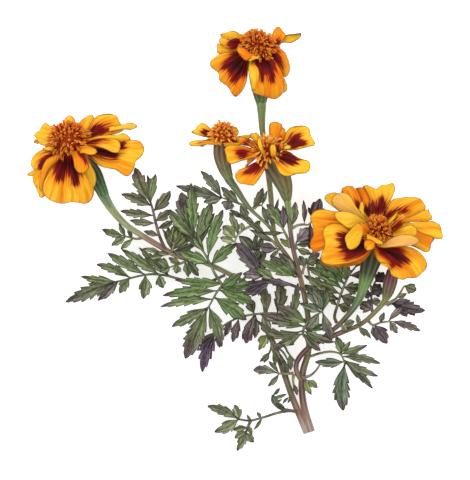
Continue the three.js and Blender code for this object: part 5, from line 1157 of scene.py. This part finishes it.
RAY_ROWS = (8, 44)
RAY_COLUMNS = (6, 34)
ROOT_PLACE = 0.8  # share of the disc's radius at which a ray leaves the head
ROOT_WIDTH = 0.32  # half of the root's width, as a share of the ray's first width
ROOT_LIMIT = 2.6
ROOT_POINTS = 6  # points at each end of an outline that are at the root and have no rim
RAY_CROWN = 0.05
PLEAT_WIDTH = 3.2
PLEAT_DEPTH = 0.028
RUFFLE_DEPTH = 0.045
RUFFLE_LIMIT = 0.6
FOLD_WIDTH = 0.09
RAY_FADE = 0.35  # how much yellower a ray is at its end than at its root
BLOTCH_STEPS = 6
BLOTCH_POINTS = 160
UNDER_ROWS = 26
UNDER_COLUMNS = 18
UNDER_LOWEST = 0.25
UNDER_TONE = 0.2
UNDER_OUT, UNDER_BACK = 0.3, 0.5  # how far outside and behind the disc's rim an under ray leaves the head
UNDER_CORNERS = 0.07  # how much of its length its corners lack
UNDER_WAVE = 0.35
UNDER_HOLLOW = 0.1
UNDER_BLOTCH = 3.5  # depth of its blotch at the root


def distance(a, b):
    return np.linalg.norm(np.array(a) - np.array(b))


def ray_root(bloom, left, right):
    """The two ends of a ray's root on the rim of its head, and their height."""
    centre = np.array(bloom["centre"], float)
    axis = unit(bloom["facing"])
    out = (np.array(left) + np.array(right)) / 2 - centre[:2]
    radial = unit(np.array([out[0], out[1], -(out[0] * axis[0] + out[1] * axis[1]) / axis[2]]))
    around = np.cross(axis, radial)
    middle = centre + radial * bloom["disc"] * ROOT_PLACE
    half = min(distance(left, right) * ROOT_WIDTH, ROOT_LIMIT)
    a, b = (middle + around * half)[:2], (middle - around * half)[:2]
    if distance(a, left) + distance(b, right) > distance(b, left) + distance(a, right):
        a, b = b, a
    return (a, b), middle[2]


def ray_heights(u, v, width, low, heights, fold, phase):
    """Heights of a ray's grid: an arch from root to end, with a crown, pleats and a ruffled end."""
    height = low * (1 - v) * (1 - 2 * v) + heights[0] * 4 * v * (1 - v) + heights[1] * v * (2 * v - 1)
    pleats = max(round(width / PLEAT_WIDTH), 1)
    crown = RAY_CROWN * width * (1 - (2 * u - 1) ** 2) * np.sin(math.pi * v)
    turn = 2 * math.pi * u
    pleat = PLEAT_DEPTH * width * np.cos(turn * pleats + phase) * np.sin(math.pi * (0.15 + 0.7 * v))
    ruffle = min(RUFFLE_DEPTH * width, RUFFLE_LIMIT) * np.sin(turn * pleats * 0.7 + phase * 2) * v ** 3
    height = height + crown + pleat + ruffle
    if fold:
        place, depth = fold
        height = height - depth * np.exp(-((u - place) / FOLD_WIDTH) ** 2) * np.clip(v * 3, 0, 1)
    return height


def make_ray(piece, bloom, ray, seed):
    """A ray petal from its outline in the picture and its heights."""
    own = random.Random(seed)
    root, low = (ray.root, ray.heights[0]) if ray.root else ray_root(bloom, ray.left[0], ray.right[0])
    knots = np.array([root[0], *ray.left, *ray.end, *ray.right[::-1], root[1]], float)
    outline = smooth(knots, OUTLINE_STEPS)
    first = OUTLINE_STEPS * len(ray.left)
    second = OUTLINE_STEPS * (len(ray.left) + len(ray.end) + 1)
    length = lengths(outline[:first + 1])[-1]
    width = max(distance(outline[first], outline[second]),
                distance(outline[first // 2], outline[(second + len(outline)) // 2]))
    rows = int(np.clip(length / GRID_STEP, *RAY_ROWS))
    columns = int(np.clip(width / GRID_STEP, *RAY_COLUMNS))
    flat = surface(outline, first, second, rows, columns)
    u = np.linspace(0, 1, columns)[None, :]
    v = np.linspace(0, 1, rows)[:, None]
    height = ray_heights(u, v, width, low, ray.heights, ray.fold, own.uniform(0, 6))
    rim = nearest(flat, outline[ROOT_POINTS:-ROOT_POINTS])
    mark = OUTSIDE_BLOTCH
    if ray.blotch:
        ring = smooth(ray.blotch, BLOTCH_STEPS, closed=True)[:-1]
        gap = nearest(flat, resample(np.vstack([ring, ring[:1]]), BLOTCH_POINTS))
        mark = np.where(inside(flat, ring), gap, -gap)
    flow = np.zeros((rows, columns, 3))
    flow[..., 0] = (u - 0.5) * width
    flow[..., 1] = v * length
    flow[..., 2] = own.uniform(0, 90)
    tone = ray.tone + RAY_FADE * (v - 0.5)
    piece.sheet(np.dstack([flat, height]), PETAL_THICKNESS, flow, rim, mark, tone)


def make_under_ray(piece, bloom, tip, width, bow, seed):
    """A ray on the side that rests on the table."""
    own = random.Random(seed)
    centre = np.array(bloom["centre"], float)
    axis = unit(bloom["facing"])
    out = tip - centre
    radial = unit(out - axis * (out @ axis))
    around = np.cross(axis, radial)
    root = centre + radial * (bloom["disc"] + UNDER_OUT) - axis * UNDER_BACK
    length = np.linalg.norm(tip - root)
    rise = unit(np.cross(tip - root, around))
    middle = (root + tip) / 2 + rise * 2 * bow
    v = np.linspace(0, 1, UNDER_ROWS)[:, None, None]
    u = np.linspace(-1, 1, UNDER_COLUMNS)[None, :, None]
    reach = v * (1 - UNDER_CORNERS * u ** 2 * v)
    spine = root * (1 - reach) ** 2 + middle * 2 * reach * (1 - reach) + tip * reach ** 2
    half = width / 2 * np.sin(math.pi * (0.12 + 0.7 * v)) ** 0.8
    wave = UNDER_WAVE * np.cos(3 * math.pi * u + own.uniform(0, 6)) * (0.3 + v)
    grid = spine + around * u * half + rise * (wave + UNDER_HOLLOW * width * u ** 2)
    grid[..., 2] = np.maximum(grid[..., 2], UNDER_LOWEST)
    u, v, half = u[..., 0], v[..., 0], half[..., 0]
    flow = np.zeros(grid.shape)
    flow[..., 0] = u * half
    flow[..., 1] = v * length
    flow[..., 2] = own.uniform(0, 90)
    rim = np.minimum(half * (1 - np.abs(u)), (1 - v) * length)
    mark = UNDER_BLOTCH - v * 11 - 1.5 * np.abs(u) ** 2
    piece.sheet(grid, PETAL_THICKNESS, flow, rim, mark, UNDER_TONE)


# A floret is a narrow tube: the share of its height, its radius and how much of its lobes shows there, from
# the foot to the mouth and, where it is open, down into it. Then its shade at each.
OPEN_FLORET = [(0.0, 0.3, 0), (0.4, 0.36, 0), (0.75, 0.4, 0.2), (0.9, 0.5, 0.6), (1.0, 0.66, 1),
               (0.94, 0.32, 0.5), (0.7, 0.12, 0)]
OPEN_SHADES = [-0.7, -0.2, 0.0, 0.15, 0.5, -0.2, -0.7]
CLOSED_FLORET = [(0.0, 0.28, 0), (0.3, 0.4, 0), (0.6, 0.46, 0), (0.8, 0.38, 0), (0.93, 0.22, 0),
                 (1.02, 0.08, 0), (1.06, 0.02, 0)]
CLOSED_SHADES = [-0.7, -0.2, 0.0, 0.1, 0.25, 0.3, 0.3]
OPEN_SHARE = 0.45
LOBES = 5
LOBE_DEPTH = 0.5
FLORET_DEPTH = 0.8  # a floret's depth as a share of its width
FLORET_SHADES = 0.28
FLORET_SHINE = 0.3
FLORET_LENGTHS = (0.75, 1.3)
FLORET_SINK = 0.25
FLORET_LEAN = 0.36
FLORET_SPIN = 0.12
FLORET_DROOPS = (0.1, 0.8)
FLORET_REACH = 1.02  # how far down the dome the florets stand, as a share of its height
FLORET_SIDES = 10
SEAT_HEIGHT = 1.1  # how far the disc's foot lies in front of the bloom's centre
DISC_FIT = 0.97
CORE_FIT = 0.96  # the core's size as a share of the disc's
CORE_SIDES = 24
CORE_RINGS = 8
CORE_TONE = 0.2
CORE_TOP = math.pi / 2 * 0.97  # angle of the last ring above the core's rim
GOLDEN_ANGLE = math.pi * (3 - math.sqrt(5))


def make_core(piece, seat, axis, first, second, radius, dome):
    """The dome that the florets stand on."""
    turn = circle(CORE_SIDES)
    ring = np.outer(np.cos(turn), first) + np.outer(np.sin(turn), second)
    rings = []
    for tilt in np.linspace(0, CORE_TOP, CORE_RINGS):
        outward = ring * radius * math.cos(tilt) * CORE_FIT
        rings.append(seat + outward + axis * dome * math.sin(tilt) * CORE_FIT)
    piece.tube(np.array(rings), tone=CORE_TONE)


def make_floret(piece, own, foot, lean, droop, length, disc_shade):
    side = unit(np.cross(lean, UP))
    other = np.cross(lean, side)
    is_open = own.random() < OPEN_SHARE
    profile, shades = (OPEN_FLORET, OPEN_SHADES) if is_open else (CLOSED_FLORET, CLOSED_SHADES)
    turn = circle(FLORET_SIDES)
    star = LOBE_DEPTH * np.cos(LOBES * turn + own.uniform(0, 6))
    rings = []
    for share, radius, lobed in profile:
        size = radius * (1 + star * lobed)
        height = length * (share - FLORET_SINK * np.linalg.norm(droop) * share ** 2)
        spokes = np.outer(np.cos(turn), side) + np.outer(np.sin(turn), other) * FLORET_DEPTH
        rings.append(foot + droop * length * share ** 2 + lean * height + size[:, None] * spokes)
    shade = disc_shade + own.uniform(-FLORET_SHADES, FLORET_SHADES)
    tone = shade + np.array(shades)[:, None] + FLORET_SHINE * np.cos(turn)[None, :] ** 4
    piece.tube(np.array(rings), foot, tone)


def make_disc(name, bloom, seed):
    """The dome of tubular florets, spread over it in a spiral from the top."""
    piece = Piece("disc_" + name)
    own = random.Random(seed)
    axis = unit(bloom["facing"])
    first = unit(np.cross(axis, [0.3, 0.1, 0.9]))
    second = np.cross(axis, first)
    seat = np.array(bloom["centre"], float) + axis * SEAT_HEIGHT
    radius = bloom["disc"] * DISC_FIT
    dome = bloom["dome"] * DISC_FIT
    make_core(piece, seat, axis, first, second, radius, dome)
    for i in range(bloom["florets"]):
        rise = 1 - (i + 0.5) / bloom["florets"] * FLORET_REACH
        spin = i * GOLDEN_ANGLE + own.uniform(-FLORET_SPIN, FLORET_SPIN)
        spread = math.sqrt(max(1 - rise ** 2, 0))
        outward = first * math.cos(spin) + second * math.sin(spin)
        foot = seat + outward * radius * spread + axis * dome * rise
        lean = unit(outward * spread * 0.8 + axis * (0.35 + 0.6 * rise))
        lean = unit(lean + np.array([own.uniform(-FLORET_LEAN, FLORET_LEAN) for _ in range(3)]))
        droop = (outward * 0.75 - axis * 0.7) * spread ** 2 * own.uniform(*FLORET_DROOPS)
        length = bloom["floret"] * own.uniform(*FLORET_LENGTHS)
        make_floret(piece, own, foot, lean, droop, length, bloom["shade"])
    piece.build(FLORET)


CUP_RIBS = 10
CUP_STEP = 0.7
CUP_RIB_DEPTH = 0.035
CUP_FIT = 0.99
CUP_FOOT = np.array([0.99, 0.96, 0.88])  # how the cup draws in to the stalk
CUP_TOOTH = 0.9
CUP_RIB_LIGHT = 0.45


def make_cup(name, cup, radii, tints):
    """A ribbed green cup with a toothed rim."""
    piece = Piece("cup_" + name)
    sides = CUP_RIBS * 6
    rings, flow, crest, run = tube_rings(np.array(cup, float), np.array(radii) * CUP_FIT, sides, CUP_STEP,
                                         CUP_RIBS, CUP_RIB_DEPTH)
    lower = rings[-3:].mean(axis=1, keepdims=True)
    rings[-3:] = lower + (rings[-3:] - lower) * CUP_FOOT[:, None, None]
    tooth = np.abs(((circle(sides) * CUP_RIBS / (2 * math.pi)) % 1.0) - 0.5) * 2
    forward = unit(rings[0].mean(axis=0) - rings[2].mean(axis=0))
    rings[0] = rings[0] + forward * (CUP_TOOTH * tooth)[:, None]
    piece.tube(rings, flow, crest * CUP_RIB_LIGHT, blend_tints(tints, run / run[-1]))
    piece.build(CUP)


def make_blooms():
    for number, (name, bloom) in enumerate(BLOOMS.items()):
        rays = Piece("petals_" + name)
        for k, ray in enumerate(bloom["rays"]):
            make_ray(rays, bloom, ray, number * 100 + k)
        for k, (*tip, width, bow) in enumerate(bloom["under"]):
            make_under_ray(rays, bloom, np.array(tip, float), width, bow, number * 100 + 50 + k)
        rays.build(PETAL)
        make_disc(name, bloom, 300 + number)
        make_cup(name, bloom["cup"], bloom["cup_radii"], bloom["cup_tints"])


# The bud: its cup from the rim down to the stalk, and its packed rays up to their tips.
BUD_CUP = [[71.4, -14.6, 14], [70.4, -18.6, 13.8], [69.2, -23.4, 13.6], [68.1, -27, 13.5]]
BUD_CUP_RADII = [2.9, 3.3, 2.8, 1.6]
BUD_CUP_TINTS = [colour(104, 56, 70), colour(112, 66, 74), colour(112, 96, 74), colour(128, 134, 84)]
BUD_RAYS = [[71.5, -14.2, 14], [72.2, -11.4, 14.2], [73, -8, 14.4]]
BUD_RAY_RADII = [2.5, 2.3, 0.7]
BUD_SIDES = 40
BUD_STEP = 0.4
BUD_PLEATS = 8
BUD_PLEAT_DEPTH = 0.09
BUD_TONE = 0.3
BUD_PLEAT_LIGHT = 0.4


def make_bud():
    make_cup("bud", BUD_CUP, BUD_CUP_RADII, BUD_CUP_TINTS)
    piece = Piece("petals_bud")
    rings, flow, crest = tube_rings(np.array(BUD_RAYS, float), BUD_RAY_RADII, BUD_SIDES, BUD_STEP,
                                    BUD_PLEATS, BUD_PLEAT_DEPTH)[:3]
    piece.tube(rings, flow, BUD_TONE + crest * BUD_PLEAT_LIGHT)
    piece.build(PETAL)


# Table, light and camera
TABLE_HALF = 3.0
PICTURE_CENTRE = (1.15, -0.325)  # middle of the picture, from the model's origin
PICTURE_HEIGHT = 216.0
EYE_HEIGHT = 3000.0
EYE_LEVEL = 15.0  # height at which the picture has its scale
SENSOR = 36.0
WHITE = (1, 1, 1, 1)
PALE = (0.93, 0.93, 0.93, 1)


def make_table():
    mesh = bpy.data.meshes.new("table")
    corners = [(-TABLE_HALF, -TABLE_HALF, 0), (TABLE_HALF, -TABLE_HALF, 0), (TABLE_HALF, TABLE_HALF, 0),
               (-TABLE_HALF, TABLE_HALF, 0)]
    mesh.from_pydata(corners, [], [(0, 1, 2, 3)])
    look = bpy.data.materials.new("table")
    look.use_nodes = True
    shader = look.node_tree.nodes["Principled BSDF"]
    shader.inputs["Base Color"].default_value = PALE
    shader.inputs["Roughness"].default_value = 0.9
    shader.inputs["Emission Color"].default_value = WHITE
    shader.inputs["Emission Strength"].default_value = 0.5
    mesh.materials.append(look)
    table = bpy.data.objects.new("table", mesh)
    bpy.context.scene.collection.objects.link(table)


def make_lamp(name, place, size, power):
    """A round soft light that points at the middle of the sprig."""
    light = bpy.data.lights.new(name, "AREA")
    light.shape = "DISK"
    light.size = size
    light.energy = power
    lamp = bpy.data.objects.new(name, light)
    lamp.location = place
    lamp.rotation_euler = (-Vector(place)).to_track_quat("-Z", "Y").to_euler()
    bpy.context.scene.collection.objects.link(lamp)


def make_daylight():
    world = bpy.data.worlds.new("world")
    world.use_nodes = True
    background = world.node_tree.nodes["Background"]
    background.inputs["Color"].default_value = WHITE
    background.inputs["Strength"].default_value = 0.85
    bpy.context.scene.world = world
    bpy.context.scene.view_settings.view_transform = "Standard"


def make_camera():
    lens = bpy.data.cameras.new("camera")
    lens.sensor_width = SENSOR
    lens.lens = SENSOR * (EYE_HEIGHT - EYE_LEVEL) / PICTURE_HEIGHT
    camera = bpy.data.objects.new("camera", lens)
    camera.location = (PICTURE_CENTRE[0] * MM, PICTURE_CENTRE[1] * MM, EYE_HEIGHT * MM)
    bpy.context.scene.collection.objects.link(camera)
    bpy.context.scene.camera = camera


make_stems()
make_leaves()
make_blooms()
make_bud()
make_table()
make_lamp("key", (-0.55, 0.65, 1.1), 0.9, 9.0)
make_lamp("fill", (0.8, -0.4, 1.0), 1.2, 3.0)
make_daylight()
make_camera()
